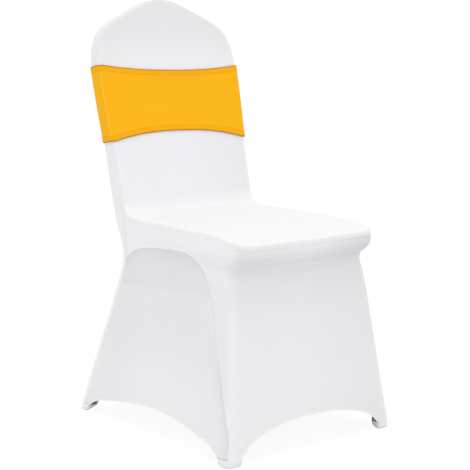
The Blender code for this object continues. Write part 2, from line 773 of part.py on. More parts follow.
def foot_pocket(name, group, look, corner, lean, side):
    """Turned cup under a foot, drawn up on its inner side and sheared to follow the leg."""
    x, y, _, _ = corner
    profile = [(0.0, 0.0)]
    flat = FOOT_RADIUS - SOLE_ROUND
    for turn in np.linspace(0.0, math.pi / 2, 4):
        profile.append((flat + SOLE_ROUND * math.sin(turn), SOLE_ROUND * (1 - math.cos(turn))))
    profile.append((FOOT_RADIUS, SOLE_TOP))
    mesh = bmesh.new()
    verts = [mesh.verts.new((radius, 0.0, height)) for radius, height in profile]
    edges = [mesh.edges.new(pair) for pair in zip(verts, verts[1:])]
    bmesh.ops.spin(mesh, geom=verts + edges, cent=(0, 0, 0), axis=(0, 0, 1),
                   angle=2 * math.pi, steps=SOLE_STEPS)
    bmesh.ops.remove_doubles(mesh, verts=mesh.verts, dist=0.00002)
    bmesh.ops.recalc_face_normals(mesh, faces=mesh.faces)
    outward = math.copysign(1.0, y)
    most = REAR_SOLE_LIFT if y > 0.0 else FRONT_SOLE_LIFT
    for vert in mesh.verts:
        lift = most * smoothstep(0.0, FOOT_RADIUS, -vert.co.y * outward)
        vert.co.z += lift * (1.0 - vert.co.z / SOLE_TOP)
    centre_x = (x - FOOT_RADIUS) * side
    centre_y = y - outward * FOOT_RADIUS
    shear = Matrix.Identity(4)
    shear[0][2] = lean[0] * side
    shear[1][2] = lean[1]
    shear[0][3] = centre_x
    shear[1][3] = centre_y
    bmesh.ops.transform(mesh, matrix=shear, verts=mesh.verts)
    data = bpy.data.meshes.new(name)
    mesh.to_mesh(data)
    mesh.free()
    data.shade_smooth()
    data.materials.append(look)
    cup = bpy.data.objects.new(name, data)
    group.objects.link(cup)
    sheet = cup.modifiers.new("cloth", "SOLIDIFY")
    sheet.thickness = SOLE_CLOTH
    sheet.offset = -1.0
    return cup


def sash_band(group, look):
    """Stretch band around the backrest, drawn in at the middle of its front and back."""
    reach = SASH_CLEAR + SASH_CLOTH
    columns = []
    for u in sash_columns():
        column = []
        for v in np.linspace(0.0, 1.0, SASH_ROWS + 1):
            column.append(sash_point(u, v, reach))
        columns.append(column)
    return cloth_object("sash_band", [(np.array(columns), False)], group, look, thickness=SASH_CLOTH)


def sash_columns():
    flat = np.linspace(0.0, 1.0, SASH_FLAT_STEPS + 1)
    corner = np.linspace(1.0, 2.0, SASH_CORNER_STEPS + 1)[1:]
    side = (2.5, 3.0)
    return np.concatenate((flat, corner, side, corner + 2.0, flat[1:] + 4.0))


def sash_point(u, v, reach):
    """u is 0 at the middle of the front and 5 at the middle behind, v runs from the lower
    edge to the upper one, and reach is the distance outside the cover."""
    to_corner = u if u < 1.0 else 5.0 - u if u > 4.0 else 1.0
    waist = 1.0 - to_corner ** SASH_WAIST_POWER
    low = SASH_BOTTOM + SASH_BOTTOM_RISE * waist
    high = SASH_TOP - SASH_TOP_DIP * waist
    z = low + (high - low) * v - SASH_TILT * np.interp(u, (1.0, 2.0, 3.0, 4.0), SASH_TILT_AT)
    x, rear, radius, _ = rear_corner(z)
    s = path_at_height(z)
    front = top_point(0.0, s)[1]
    flat_half = x - EDGE_RADIUS
    if u <= 1.0:
        across = u * flat_half
        lift = puff(across, s, flat_half)
        return np.array((across, front - lift - reach, z))
    if u <= 2.0:
        turn = (u - 1.0) * math.pi / 2
        size = EDGE_RADIUS + reach
        return np.array((flat_half + size * math.sin(turn), front + EDGE_RADIUS - size * math.cos(turn), z))
    if u <= 3.0:
        start = front + EDGE_RADIUS
        y = start + (rear - radius - start) * (u - 2.0)
        return np.array((x + reach, y, z))
    if u <= 4.0:
        turn = (u - 3.0) * math.pi / 2
        size = radius + reach
        return np.array((x - radius + size * math.cos(turn), rear - radius + size * math.sin(turn), z))
    across = (x - radius) * (5.0 - u)
    sag = float(read(BACK_OUTLINE, "sag", z)) * math.sin(math.pi * (u - 4.0) / 2) ** 2
    return np.array((across, rear - sag + reach, z))


def build():
    for thing in list(bpy.data.objects):
        bpy.data.objects.remove(thing)
    group = collection("chair_cover_with_sash")
    looks = {name: material(name) for name in MATERIALS}
    cover = looks["cover_cloth"]
    top_panel(group, cover)
    skirt_panel(group, cover)
    back_panel(group, cover)
    gusset("gusset_right", group, cover, mirrored=False)
    gusset("gusset_left", group, cover, mirrored=True)
    for side_name, side in (("left", -1), ("right", 1)):
        for end, corner in (("front", front_corner), ("rear", rear_corner)):
            foot = corner(0.0)
            above = corner(SOLE_TOP)
            lean = ((above[0] - foot[0]) / SOLE_TOP, (above[1] - foot[1]) / SOLE_TOP)
            name = f"foot_pocket_{end}_{side_name}"
            foot_pocket(name, group, looks["sole_cloth"], foot, lean, side)
    sash_band(group, looks["sash_cloth"])
    for piece in group.objects:
        piece.location.y = -BOX_MIDDLE


build()
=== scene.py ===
import math
from bisect import bisect_right

import bmesh
import bpy
import numpy as np
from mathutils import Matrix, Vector
from mathutils.kdtree import KDTree


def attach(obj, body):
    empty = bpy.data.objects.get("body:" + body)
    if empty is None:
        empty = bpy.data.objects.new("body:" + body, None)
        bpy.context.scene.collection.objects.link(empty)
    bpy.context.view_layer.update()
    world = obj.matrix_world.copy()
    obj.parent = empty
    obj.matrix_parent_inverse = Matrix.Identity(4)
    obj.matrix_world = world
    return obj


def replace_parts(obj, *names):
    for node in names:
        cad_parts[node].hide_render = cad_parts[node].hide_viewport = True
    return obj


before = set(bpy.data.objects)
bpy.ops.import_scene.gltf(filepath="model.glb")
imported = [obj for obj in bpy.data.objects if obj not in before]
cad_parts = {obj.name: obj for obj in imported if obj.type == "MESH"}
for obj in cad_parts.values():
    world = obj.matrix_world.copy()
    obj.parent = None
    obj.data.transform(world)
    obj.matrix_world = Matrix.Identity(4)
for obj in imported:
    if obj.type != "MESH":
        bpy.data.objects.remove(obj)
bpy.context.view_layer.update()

# how finely the cloth is divided: mesh steps for each step of a coarse pattern
mesh = {"finer": 3}


# ---------- curves and small sums

def smoothCurve(positions, values):
    # a smooth curve through the rows, read at any place between them
    positions = [float(p) for p in positions]
    values = [float(v) for v in values]
    slopes = [float(s) for s in np.gradient(values, positions)]

    def read(at):
        at = min(max(at, positions[0]), positions[-1])
        i = min(max(bisect_right(positions, at) - 1, 0), len(positions) - 2)
        width = positions[i + 1] - positions[i]
        t = (at - positions[i]) / width
        start = (1 + 2 * t) * (1 - t) ** 2 * values[i] + t * (1 - t) ** 2 * width * slopes[i]
        end = t * t * (3 - 2 * t) * values[i + 1] + t * t * (t - 1) * width * slopes[i + 1]
        return start + end

    return read


def columnsOf(names, rows):
    return dict(zip(names, [list(column) for column in zip(*rows)]))


def evenSteps(points, count):
    # the same line again, in even steps
    points = np.array(points, dtype=float)
    lengths = np.linalg.norm(np.diff(points, axis=0), axis=1)
    distance = np.concatenate(([0.0], np.cumsum(lengths)))
    wanted = np.linspace(0.0, distance[-1], count + 1)
    return np.array([np.interp(wanted, distance, column) for column in points.T]).T


def smoothStep(low, high, value):
    t = min(max((value - low) / (high - low), 0.0), 1.0)
    return t * t * (3 - 2 * t)


# ---------- the chair under the cloth: planes of the seat and the backrest

chair = {
    "seatTop": 0.4660,
    "seatFront": -0.2425,
    "seatDrop": 0.0150,       # fall of the seat at its front edge
    "dropStart": -0.1300,
    "backBase": 0.1787,       # where the plane of the backrest meets the seat
    "backSlope": 0.2465,
    "lapRadius": 0.0400,      # inside corner of seat and backrest
    "edgeRadius": 0.0090,
    "edgeLip": 0.0010,
    "seatEdgeShape": 0.75,    # 1 is a round edge, less is squarer
    "backEdgeShape": 0.50,
    "seatPuff": 0.0050,
    "backPuff": 0.0035,
    "boxMiddle": 0.0393,      # y of the middle of the whole cover, which lies over the origin
}
edgeDepth = chair["edgeRadius"] + chair["edgeLip"]

# the cover's corner over a front leg, from the floor up to the edge of the seat
frontLeg = columnsOf(
    ("z", "x", "y", "radius", "sag"), (
        (0.000, 0.2335, -0.2567, 0.0195, 0.000),
        (0.030, 0.2297, -0.2532, 0.0196, 0.002),
        (0.115, 0.2200, -0.2437, 0.0205, 0.005),
        (0.190, 0.2118, -0.2353, 0.0220, 0.006),
        (0.247, 0.2056, -0.2288, 0.0240, 0.006),
        (0.322, 0.1972, -0.2208, 0.0280, 0.005),
        (0.360, 0.1918, -0.2168, 0.0320, 0.003),
        (0.387, 0.1882, -0.2145, 0.0360, 0.001),
        (0.398, 0.1892, -0.2205, 0.0390, -0.002),
        (0.412, 0.1930, -0.2360, 0.0420, -0.004),
        (0.426, 0.1953, -0.2452, 0.0450, -0.004),
        (0.440, 0.1945, -0.2462, 0.0450, -0.003),
        (0.456, 0.1930, -0.2450, 0.0450, -0.002),
    ))

# the cover from behind: rear foot, waist under the seat, shoulder, crown
backLine = columnsOf(
    ("x", "z", "rear", "radius", "sag"), (
        (0.2445, 0.000, 0.3005, 0.0195, 0.000),
        (0.2402, 0.030, 0.2945, 0.0196, 0.003),
        (0.2314, 0.083, 0.2809, 0.0200, 0.008),
        (0.2221, 0.142, 0.2635, 0.0205, 0.012),
        (0.2097, 0.221, 0.2384, 0.0210, 0.015),
        (0.1976, 0.298, 0.2165, 0.0220, 0.014),
        (0.1925, 0.336, 0.2055, 0.0225, 0.011),
        (0.1893, 0.368, 0.1992, 0.0220, 0.006),
        (0.1878, 0.400, 0.2030, 0.0200, 0.002),
        (0.1870, 0.443, 0.2225, 0.0180, 0.000),
        (0.1866, 0.497, 0.2385, 0.0160, -0.002),
        (0.1872, 0.551, 0.2505, 0.0150, -0.003),
        (0.1900, 0.6245, 0.2645, 0.0145, -0.003),
        (0.1940, 0.710, 0.2835, 0.0140, -0.003),
        (0.1962, 0.780, 0.2990, 0.0140, -0.003),
        (0.1955, 0.810, 0.3060, 0.0140, -0.003),
        (0.1910, 0.836, 0.3125, 0.0140, -0.003),
        (0.1835, 0.859, 0.3185, 0.0140, -0.002),
        (0.1712, 0.8782, 0.3230, 0.0140, -0.002),
        (0.1485, 0.8965, 0.3270, 0.0140, -0.001),
        (0.1090, 0.9160, 0.3310, 0.0140, -0.001),
        (0.0680, 0.9350, 0.3345, 0.0140, 0.000),
        (0.0330, 0.9480, 0.3370, 0.0140, 0.000),
        (0.0000, 0.9530, 0.3380, 0.0140, 0.000),
    ))
shoulderRow = 16
shoulderHeight = backLine["z"][shoulderRow]
crownFall = 0.0025

# side seam: up the front leg, over the arch, to the rear leg
sideSeam = columnsOf(
    ("y", "z"), (
        (-0.2478, 0.0163),
        (-0.2440, 0.060),
        (-0.2310, 0.110),
        (-0.2165, 0.150),
        (-0.2000, 0.192),
        (-0.1835, 0.240),
        (-0.1675, 0.291),
        (-0.1525, 0.332),
        (-0.1400, 0.355),
        (-0.1190, 0.383),
        (-0.0870, 0.406),
        (-0.0500, 0.4150),
        (0.0100, 0.4135),
        (0.0750, 0.4080),
        (0.1200, 0.4005),
        (0.1500, 0.3885),
        (0.1692, 0.3700),
    ))
archSpring = 0.3550       # height where the arch leaves the leg
springAbove = -0.1500     # y on the seat's edge above that place
rearSeamSetback = 0.004
junctionShare = 0.6

# how far the side cloth is drawn in between the legs
sideDraw = columnsOf(
    ("z", "depth"), (
        (0.000, 0.006),
        (0.050, 0.012),
        (0.120, 0.017),
        (0.200, 0.018),
        (0.300, 0.014),
        (0.370, 0.007),
        (0.420, 0.002),
        (0.470, 0.001),
    ))

hem = {
    "footTop": 0.0163,
    "frontRise": 0.0695, "frontReach": 0.1930, "frontPower": 2.6,
    "backRise": 0.0690, "backReach": 0.2040,
    "sideRise": 0.0590, "sideReach": 0.2370, "sideMiddle": 0.0200, "sidePower": 1.8,
    "endShare": 0.3,          # share of an arch's height that it loses close to the feet
    "endPower": 14.0,
}

frontAt = {name: smoothCurve(frontLeg["z"], frontLeg[name]) for name in ("x", "y", "radius", "sag")}
low = shoulderRow + 1
rearAt = {name: smoothCurve(backLine["z"][:low], backLine[name][:low])
          for name in ("x", "rear", "radius", "sag")}
outsideAt = {name: smoothCurve(backLine["z"], backLine[name]) for name in ("rear", "sag")}
drawAt = smoothCurve(sideDraw["z"], sideDraw["depth"])


def frontCorner(z):
    return frontAt["x"](z), frontAt["y"](z), frontAt["radius"](z), frontAt["sag"](z)


def rearCorner(z):
    return rearAt["x"](z), rearAt["rear"](z), rearAt["radius"](z), rearAt["sag"](z)


def sideX(y, z):
    frontX, frontY, frontRadius, _ = frontCorner(z)
    rearX, rearY, rearRadius, _ = rearCorner(z)
    start = frontY + frontRadius
    end = rearY - rearRadius
    t = min(max((y - start) / (end - start), 0.0), 1.0)
    lowX = frontX + (rearX - frontX) * t - drawAt(z) * math.sin(math.pi * t) ** 2
    blend = smoothStep(chair["seatTop"] - chair["lapRadius"] / 2, chair["seatTop"] + chair["lapRadius"], z)
    return lowX + (rearX - lowX) * blend


def bodyPoint(u, z):
    # u: 0 middle of the front, 1 to 2 round a front leg, 2 to 3 the side, 3 to 4 round a rear leg, 5 behind
    frontX, frontY, frontRadius, frontSag = frontCorner(z)
    rearX, rearY, rearRadius, rearSag = rearCorner(z)
    if u <= 1.0:
        return np.array((u * (frontX - frontRadius), frontY + frontSag * math.cos(math.pi * u / 2) ** 2, z))
    if u <= 2.0:
        turn = (u - 1.0) * math.pi / 2
        x = frontX - frontRadius + frontRadius * math.sin(turn)
        return np.array((x, frontY + frontRadius - frontRadius * math.cos(turn), z))
    if u <= 3.0:
        start = frontY + frontRadius
        y = start + (rearY - rearRadius - start) * (u - 2.0)
        return np.array((sideX(y, z), y, z))
    if u <= 4.0:
        turn = (u - 3.0) * math.pi / 2
        x = rearX - rearRadius + rearRadius * math.cos(turn)
        return np.array((x, rearY - rearRadius + rearRadius * math.sin(turn), z))
    t = u - 4.0
    y = rearY - rearSag * math.sin(math.pi * t / 2) ** 2
    return np.array(((rearX - rearRadius) * (1.0 - t), y, z))


def uAt(y, z):
    _, frontY, frontRadius, _ = frontCorner(z)
    _, rearY, rearRadius, _ = rearCorner(z)
    start = frontY + frontRadius
    end = rearY - rearRadius
    if y <= start:
        return 1.0 + math.acos(min(max((start - y) / frontRadius, -1.0), 1.0)) * 2 / math.pi
    if y >= end:
        return 3.0 + math.asin(min(max((y - end) / rearRadius, -1.0), 1.0)) * 2 / math.pi
    return 2.0 + (y - start) / (end - start)


def onSide(y, z):
    return bodyPoint(uAt(y, z), z)


# ---------- the path over the seat and up the backrest

lean = math.atan(chair["backSlope"])
lapTurn = math.pi / 2 - lean
lapTangent = chair["lapRadius"] * math.tan(lapTurn / 2)
lapStart = chair["backBase"] - lapTangent - chair["seatFront"]
lapEnd = lapStart + chair["lapRadius"] * lapTurn
upward = np.array((0.0, 0.0, 1.0))
sideways = np.array((1.0, 0.0, 0.0))


def seatHeight(y):
    fall = max((chair["dropStart"] - y) / (chair["dropStart"] - chair["seatFront"]), 0.0)
    return chair["seatTop"] - chair["seatDrop"] * fall ** 2


def pathAt(s):
    # point (y, z) and normal (y, z) at distance s from the seat's front edge
    if s <= lapStart:
        y = chair["seatFront"] + s
        return (y, seatHeight(y)), (0.0, 1.0)
    if s <= lapEnd:
        turn = (s - lapStart) / chair["lapRadius"]
        y = chair["seatFront"] + lapStart + chair["lapRadius"] * math.sin(turn)
        z = chair["seatTop"] + chair["lapRadius"] * (1 - math.cos(turn))
        return (y, z), (-math.sin(turn), math.cos(turn))
    rise = lapTangent + s - lapEnd
    y = chair["backBase"] + rise * math.sin(lean)
    return (y, chair["seatTop"] + rise * math.cos(lean)), (-math.cos(lean), math.sin(lean))


def pathAtHeight(z):
    return lapEnd - lapTangent + (z - chair["seatTop"]) / math.cos(lean)


def topPoint(x, s, depth=0.0):
    (y, z), (normalY, normalZ) = pathAt(s)
    return np.array((x, y - normalY * depth, z - normalZ * depth))


def pathDistance(point):
    _, y, z = point
    if y <= chair["seatFront"] + lapStart:
        return y - chair["seatFront"]
    centreZ = chair["seatTop"] + chair["lapRadius"]
    turn = math.atan2(y - chair["seatFront"] - lapStart, centreZ - z)
    if turn < lapTurn and z < centreZ:
        return lapStart + turn * chair["lapRadius"]
    return pathAtHeight(z)


# ---------- seams, shared by the panels on both sides of them

# mesh divisions; crown equals front and half of corner, so that the seat and the back line up
base = mesh["finer"]
steps = {
    "front": 10 * base,       # half the width of the front
    "corner": 8 * base,       # round a front corner of the seat
    "near": 2 * base,
    "arch": 22 * base,
    "leg": 24 * base,
    "rim": 10 * base,         # seat's edge down to the arch
    "edge": 3 * base,         # over a rounded edge
    "junction": 5 * base,
    "lap": 3 * base,
    "back": 26 * base,
    "crown": 14 * base,
    "gusset": 22 * base,
    "side": 4 * base,
    "sash": 9 * base,
}

seams = {"gap": 0.00002}


def sideSeamCurve():
    # (y, z): first up the leg, then over the arch
    rows = range(len(sideSeam["y"]))
    byRow = [smoothCurve(rows, sideSeam[name]) for name in ("y", "z")]
    curve = np.array([[read(at) for read in byRow] for at in np.linspace(0, rows[-1], 400)])
    spring = int(np.argmax(curve[:, 1] >= archSpring))
    return evenSteps(curve[:spring + 1], steps["leg"]), evenSteps(curve[spring:], steps["arch"])


def rearSeamCurve():
    # (y, z) down the rear leg from the end of the arch
    top = (sideSeam["y"][-1], sideSeam["z"][-1])
    points = [top]
    for z in np.linspace(top[1], sideSeam["z"][0], steps["leg"] + 1)[1:]:
        _, rear, radius, _ = rearCorner(z)
        points.append((rear - radius - rearSeamSetback, z))
    return np.array(points)


junctionPath = lapStart + chair["lapRadius"] * lapTurn * junctionShare


def frontEdge(u):
    # seam point round the front of the seat, with its outward direction
    z = chair["seatTop"] - edgeDepth
    for _ in range(5):
        outward = np.array((0.0, -1.0, 0.0))
        if u >= 0.01:
            tangent = bodyPoint(u + 0.01, z) - bodyPoint(u - 0.01, z)
            outward = np.array((tangent[1], -tangent[0], 0.0)) / np.linalg.norm(tangent)
        inset = bodyPoint(u, z) - outward * chair["edgeRadius"]
        z = seatHeight(inset[1]) - edgeDepth
    return bodyPoint(u, z), outward


def sideRow(s):
    _, y, z = topPoint(0.0, s, edgeDepth)
    _, normal = pathAt(s)
    return np.array((sideX(y, z), y, z)), sideways, np.array((0.0, normal[0], normal[1]))


def crownCurve():
    # (x, z) from the shoulder to the top, with the outward direction there
    rows = range(len(backLine["x"]) + 1)
    xAt = smoothCurve(rows, backLine["x"] + [-backLine["x"][-2]])
    zAt = smoothCurve(rows, backLine["z"] + [backLine["z"][-2]])
    fine = evenSteps([(xAt(r), zAt(r)) for r in np.linspace(shoulderRow, rows[-2], 200)], steps["crown"] * 4)
    samples = []
    for here in range(0, len(fine), 4):
        tangent = fine[min(here + 5, len(fine) - 1)] - fine[max(here - 5, 0)]
        if here == len(fine) - 1:
            tangent = np.array((-1.0, 0.0))
        outward = np.array((tangent[1], -tangent[0])) / np.linalg.norm(tangent)
        samples.append((fine[here], outward))
    return samples


def crownRow(x, z, outward):
    slope = np.array((0.0, math.sin(lean), math.cos(lean)))
    s = pathAtHeight(z) - outward[1] * chair["edgeRadius"]
    _, normal = pathAt(s)
    up = np.array((0.0, normal[0], normal[1]))
    out = sideways * outward[0] + slope * outward[1]
    inset = topPoint(x - outward[0] * chair["edgeRadius"], s)
    return inset + out * chair["edgeRadius"] - up * edgeDepth, out, up


legSeam, archSeam = sideSeamCurve()
rearSeam = rearSeamCurve()
crownSamples = crownCurve()
flatColumns = np.linspace(0.0, 1.0, steps["front"] + 1)
frontRows = [(*frontEdge(u), upward) for u in flatColumns]
frontRows += [(*frontEdge(u), upward) for u in np.linspace(1.0, 2.0, steps["corner"] + 1)[1:]]
cornerEnd = frontRows[-1][0][1] - chair["seatFront"]
springPath = springAbove - chair["seatFront"]
seatRows = [sideRow(s) for s in np.linspace(cornerEnd, springPath, steps["near"] + 1)[1:]]
seatRows += [sideRow(s) for s in np.linspace(springPath, junctionPath, steps["arch"] + 1)[1:]]
backRows = [sideRow(s) for s in np.linspace(junctionPath, lapEnd, steps["lap"] + 1)[1:]]
backRows += [sideRow(s) for s in np.linspace(lapEnd, pathAtHeight(shoulderHeight), steps["back"] + 1)[1:-1]]
crownRows = [crownRow(x, z, outward) for (x, z), outward in crownSamples]
print("seams", len(frontRows), len(seatRows), len(backRows), len(crownRows))


def shiftedLine(points, amount):
    # a flat line moved to its left
    tangents = np.gradient(points, axis=0)
    tangents /= np.linalg.norm(tangents, axis=1)[:, None]
    return points + amount * np.stack((-tangents[:, 1], tangents[:, 0]), axis=1)


def hemHeight(distance, rise, reach, power):
    across = min(abs(distance) / reach, 1.0)
    drop = (1 - hem["endShare"]) * across ** power + hem["endShare"] * across ** hem["endPower"]
    return hem["footTop"] + (rise - hem["footTop"]) * (1 - drop)


def patchInside(bottom, top, left, right, up, ease):
    # points inside four lines with shared corners; the bends of bottom and top fade inwards
    across = np.linspace(0.0, 1.0, len(bottom))
    bottomBend = bottom - ((1 - across)[:, None] * bottom[0] + across[:, None] * bottom[-1])
    topBend = top - ((1 - across)[:, None] * top[0] + across[:, None] * top[-1])
    sides = (1 - across)[:, None, None] * left[None] + across[:, None, None] * right[None]
    fadeUp = ((1 - up) ** ease)[None, :, None]
    fadeDown = (up ** ease)[None, :, None]
    return sides + fadeUp * bottomBend[:, None] + fadeDown * topBend[:, None]


def relaxed(patch, share, rounds=160):
    # inner points eased towards the middle of their neighbours, so that no cell folds at a blunt corner
    for _ in range(rounds):
        middle = (patch[2:, 1:-1] + patch[:-2, 1:-1] + patch[1:-1, 2:] + patch[1:-1, :-2]) / 4
        patch[1:-1, 1:-1] += share[1:-1, 1:-1, None] * (middle - patch[1:-1, 1:-1])
    return patch


def rising(low, high, values):
    t = np.clip((values - low) / (high - low), 0.0, 1.0)
    return t * t * (3 - 2 * t)


def crowdedEnds(count, length, first=0.0, last=0.0):
    # fractions from 0 to 1 with a few close rows beside a seam at either end
    close = np.array((0.0006, 0.0013, 0.0021, 0.0031, 0.0044)) * min(1.0, length / 0.0075)
    parts = [np.array((0.0,))]
    lead = close / length if first else np.array(())
    trail = close / length if last else np.array(())
    start = lead[-1] if first else 0.0
    end = 1 - trail[-1] if last else 1.0
    parts.append(lead)
    parts.append(np.linspace(start, end, count + 1)[1:-1])
    parts.append(1 - trail[::-1])
    parts.append(np.array((1.0,)))
    return np.concatenate(parts)


# ---------- turning grids of points into cloth

def mirroredHalf(grids):
    # the same grids on the other side of the middle
    return [(points * np.array((-1.0, 1.0, 1.0)), not flip) for points, flip in grids]


def gridMesh(grids):
    # one welded mesh from grids of points, with a map in metres along the cloth
    data = bmesh.new()
    layer = data.loops.layers.uv.new("cloth")
    for points, flip in grids:
        rows, columns = points.shape[:2]
        down = np.linalg.norm(np.diff(points, axis=0), axis=2).mean(axis=1)
        across = np.linalg.norm(np.diff(points, axis=1), axis=2).mean(axis=0)
        alongU = np.concatenate(([0.0], np.cumsum(down)))
        alongV = np.concatenate(([0.0], np.cumsum(across)))
        verts = [[data.verts.new(points[i, j]) for j in range(columns)] for i in range(rows)]
        for i in range(rows - 1):
            for j in range(columns - 1):
                corners = [(i, j), (i + 1, j), (i + 1, j + 1), (i, j + 1)]
                if flip:
                    corners.reverse()
                face = data.faces.new([verts[a][b] for a, b in corners])
                for loop, (a, b) in zip(face.loops, corners):
                    loop[layer].uv = (alongU[a], alongV[b])
    bmesh.ops.remove_doubles(data, verts=data.verts, dist=0.00002)
    data.normal_update()
    return data


def pushedOut(grids, reliefAt):
    # every point moved along the cloth's outward direction by its share of the relief
    data = gridMesh(grids)
    tree = KDTree(len(data.verts))
    normals = []
    for index, vert in enumerate(data.verts):
        tree.insert(vert.co, index)
        normals.append(vert.normal[:])
    tree.balance()
    data.free()
    normals = np.array(normals)
    pushed = []
    for points, flip in grids:
        flat = points.reshape(-1, 3)
        nearest = [tree.find(Vector(p))[1] for p in flat]
        relief = reliefAt(flat, normals[nearest])[:, None] * normals[nearest]
        pushed.append(((flat + relief).reshape(points.shape), flip))
    return pushed


def markDistance(mesh, name, lines):
    # how far each point lies from a hem or seam, for the materials
    shifted = [line - np.array((0.0, chair["boxMiddle"], 0.0)) for line in lines]
    places = np.empty(len(mesh.vertices) * 3)
    mesh.vertices.foreach_get("co", places)
    mark = mesh.attributes.new(name, "FLOAT", "POINT")
    mark.data.foreach_set("value", distanceTo(shifted, places.reshape(-1, 3)).astype(np.float32))


def markPaintedShade(mesh, amountAt):
    # how much painted shade the white cloth carries at each point, for the materials
    places, normals = np.empty(len(mesh.vertices) * 3), np.empty(len(mesh.vertices) * 3)
    mesh.vertices.foreach_get("co", places)
    mesh.vertices.foreach_get("normal", normals)
    points = places.reshape(-1, 3) + np.array((0.0, chair["boxMiddle"], 0.0))
    mark = mesh.attributes.new("paintedShade", "FLOAT", "POINT")
    mark.data.foreach_set("value", amountAt(points, normals.reshape(-1, 3)).astype(np.float32))


def clothObject(name, grids, material, thickness, marks):
    # the thickened sheet as a plain mesh at the origin
    data = gridMesh([(points - np.array((0.0, chair["boxMiddle"], 0.0)), flip) for points, flip in grids])
    flat = bpy.data.meshes.new(name)
    data.to_mesh(flat)
    data.free()
    piece = bpy.data.objects.new(name, flat)
    bpy.context.scene.collection.objects.link(piece)
    sheet = piece.modifiers.new("cloth", "SOLIDIFY")
    sheet.thickness = thickness
    sheet.offset = -1.0
    sheet.use_quality_normals = True
    bpy.context.view_layer.update()
    solid = bpy.data.meshes.new_from_object(piece.evaluated_get(bpy.context.evaluated_depsgraph_get()))
    piece.modifiers.remove(sheet)
    piece.data = solid
    solid.name = name
    solid.materials.clear()
    solid.materials.append(material)
    solid.shade_smooth()
    for mark, lines in marks.items():
        if callable(lines):
            markPaintedShade(solid, lines)
        else:
            markDistance(solid, mark, lines)
    return piece


def distanceTo(lines, points):
    # metres from each point to the nearest of some lines
    lengths = [np.linalg.norm(np.diff(line, axis=0), axis=1).sum() for line in lines]
    dense = np.concatenate([evenSteps(line, int(size / 0.0002)) for line, size in zip(lines, lengths)])
    tree = KDTree(len(dense))
    for index, point in enumerate(dense):
        tree.insert(Vector(point), index)
    tree.balance()
    return np.array([tree.find(Vector(p))[2] for p in points])


def bothSides(line):
    return [line, line * np.array((-1.0, 1.0, 1.0))]


def seamRoll(distance, height, width=0.0024):
    # the cloth rises over the turned edges inside a seam and dips at its thread
    return height * np.exp(-(distance / width) ** 2) - 0.10 * height * np.exp(-(distance / 0.0007) ** 2)


# ---------- hems: the edge is turned in and sewn down

hemCloth = {
    "width": 0.0140,          # height of the turned part
    "stitchAt": 0.0120,
    "layerGap": 0.0014,
    "dip": 0.00025,
    "rise": 0.00045,
}


def hemRelief(distance):
    # doubled cloth stands out a little, and is drawn in where it is sewn
    doubled = 1 / (1 + np.exp(np.clip((distance - hemCloth["width"]) / 0.0006, -40, 40)))
    dip = np.exp(-((distance - hemCloth["stitchAt"]) / 0.0008) ** 2)
    return hemCloth["rise"] * doubled - hemCloth["dip"] * dip


def hemRows(length, count):
    # fractions of a column from its top to the hem, with close rows where the stitching lies
    near = np.array((0.0185, 0.0165, 0.0152, 0.0142, 0.0134, 0.0127, 0.0120, 0.0113, 0.0104, 0.0085,
                     0.0050, 0.0020, 0.0007, 0.0))
    near = 1.0 - near / length
    return np.concatenate((np.linspace(0.0, near[0], count + 1)[:-1], near))


def turnedHem(points, flip, rowsInHem=12):
    # the last columns of the grid carried round the edge and up the inside
    inward = np.cross(np.gradient(points, axis=0), np.gradient(points, axis=1))
    inward /= np.linalg.norm(inward, axis=2)[:, :, None]
    if not flip:
        inward = -inward
    gap = hemCloth["layerGap"]
    downward = points[:, -1] - points[:, -2]
    downward /= np.linalg.norm(downward, axis=1)[:, None]
    added = []
    for turn in (0.35, 0.75, 1.15, 1.55):
        angle = turn / 1.55 * math.pi / 2
        across = inward[:, -1] * gap * (1 - math.cos(2 * angle)) / 2
        added.append(points[:, -1] + across + downward * gap / 2 * math.sin(2 * angle))
    for row in range(2, rowsInHem):
        added.append(points[:, -row] + inward[:, -row] * gap)
    return np.concatenate((points, np.stack(added, axis=1)), axis=1), flip


# ---------- where every seam runs, for the rolls along them

def lift3d(line):
    return np.array([onSide(y, z) for y, z in line])


edgeLine = np.array([row[0] for row in frontRows + seatRows + backRows + crownRows])
legLine = lift3d(legSeam)
archLine = lift3d(archSeam)
rearLine = lift3d(rearSeam)
junctionTop = sideRow(junctionPath)[0]
archEnd = archSeam[-1]
junctionLine = np.array([onSide(*(archEnd + (junctionTop[1:] - archEnd) * f))
                         for f in np.linspace(0, 1, 40)])
sideLines = bothSides(legLine) + bothSides(archLine) + bothSides(rearLine)
seamRolls = {"edge": 0.0008, "side": 0.0008, "junction": 0.0006}


def reliefOf(points, edge=False, side=False, junction=False, hemLines=None):
    relief = np.zeros(len(points))
    if edge:
        relief += seamRoll(distanceTo(bothSides(edgeLine), points), seamRolls["edge"])
    if side:
        relief += seamRoll(distanceTo(sideLines, points), seamRolls["side"])
    if junction:
        relief += seamRoll(distanceTo(bothSides(junctionLine), points), seamRolls["junction"])
    if hemLines is not None:
        relief += hemRelief(distanceTo(hemLines, points))
    return relief


# ---------- the tuck under the seat's front edge

# the seat's frame fills the rim; below it the cloth bridges to the legs, less deep between them
rim = {
    "middleOut": 0.0110,      # how much shallower the tuck is halfway between the legs
    "middleHeight": 0.3920, "middleSpread": 0.0200, "middleReach": 0.1550,
    "lineDepth": 0.0016,      # the line where the cloth leaves the frame
    "lineHeight": 0.4035, "lineFall": 0.0550, "lineSpread": 0.0060,
    "cornerFold": 0.0022,     # the deeper fold at the right corner
    "cornerAt": (0.1580, 0.3985), "cornerSpread": 0.0085,
    "lapFold": 0.0014,        # the small raised fold from the left corner to the arch
    "lapFrom": (-0.1915, -0.2020, 0.4060), "lapTo": (-0.1890, -0.1560, 0.4020), "lapSpread": 0.0045,
}


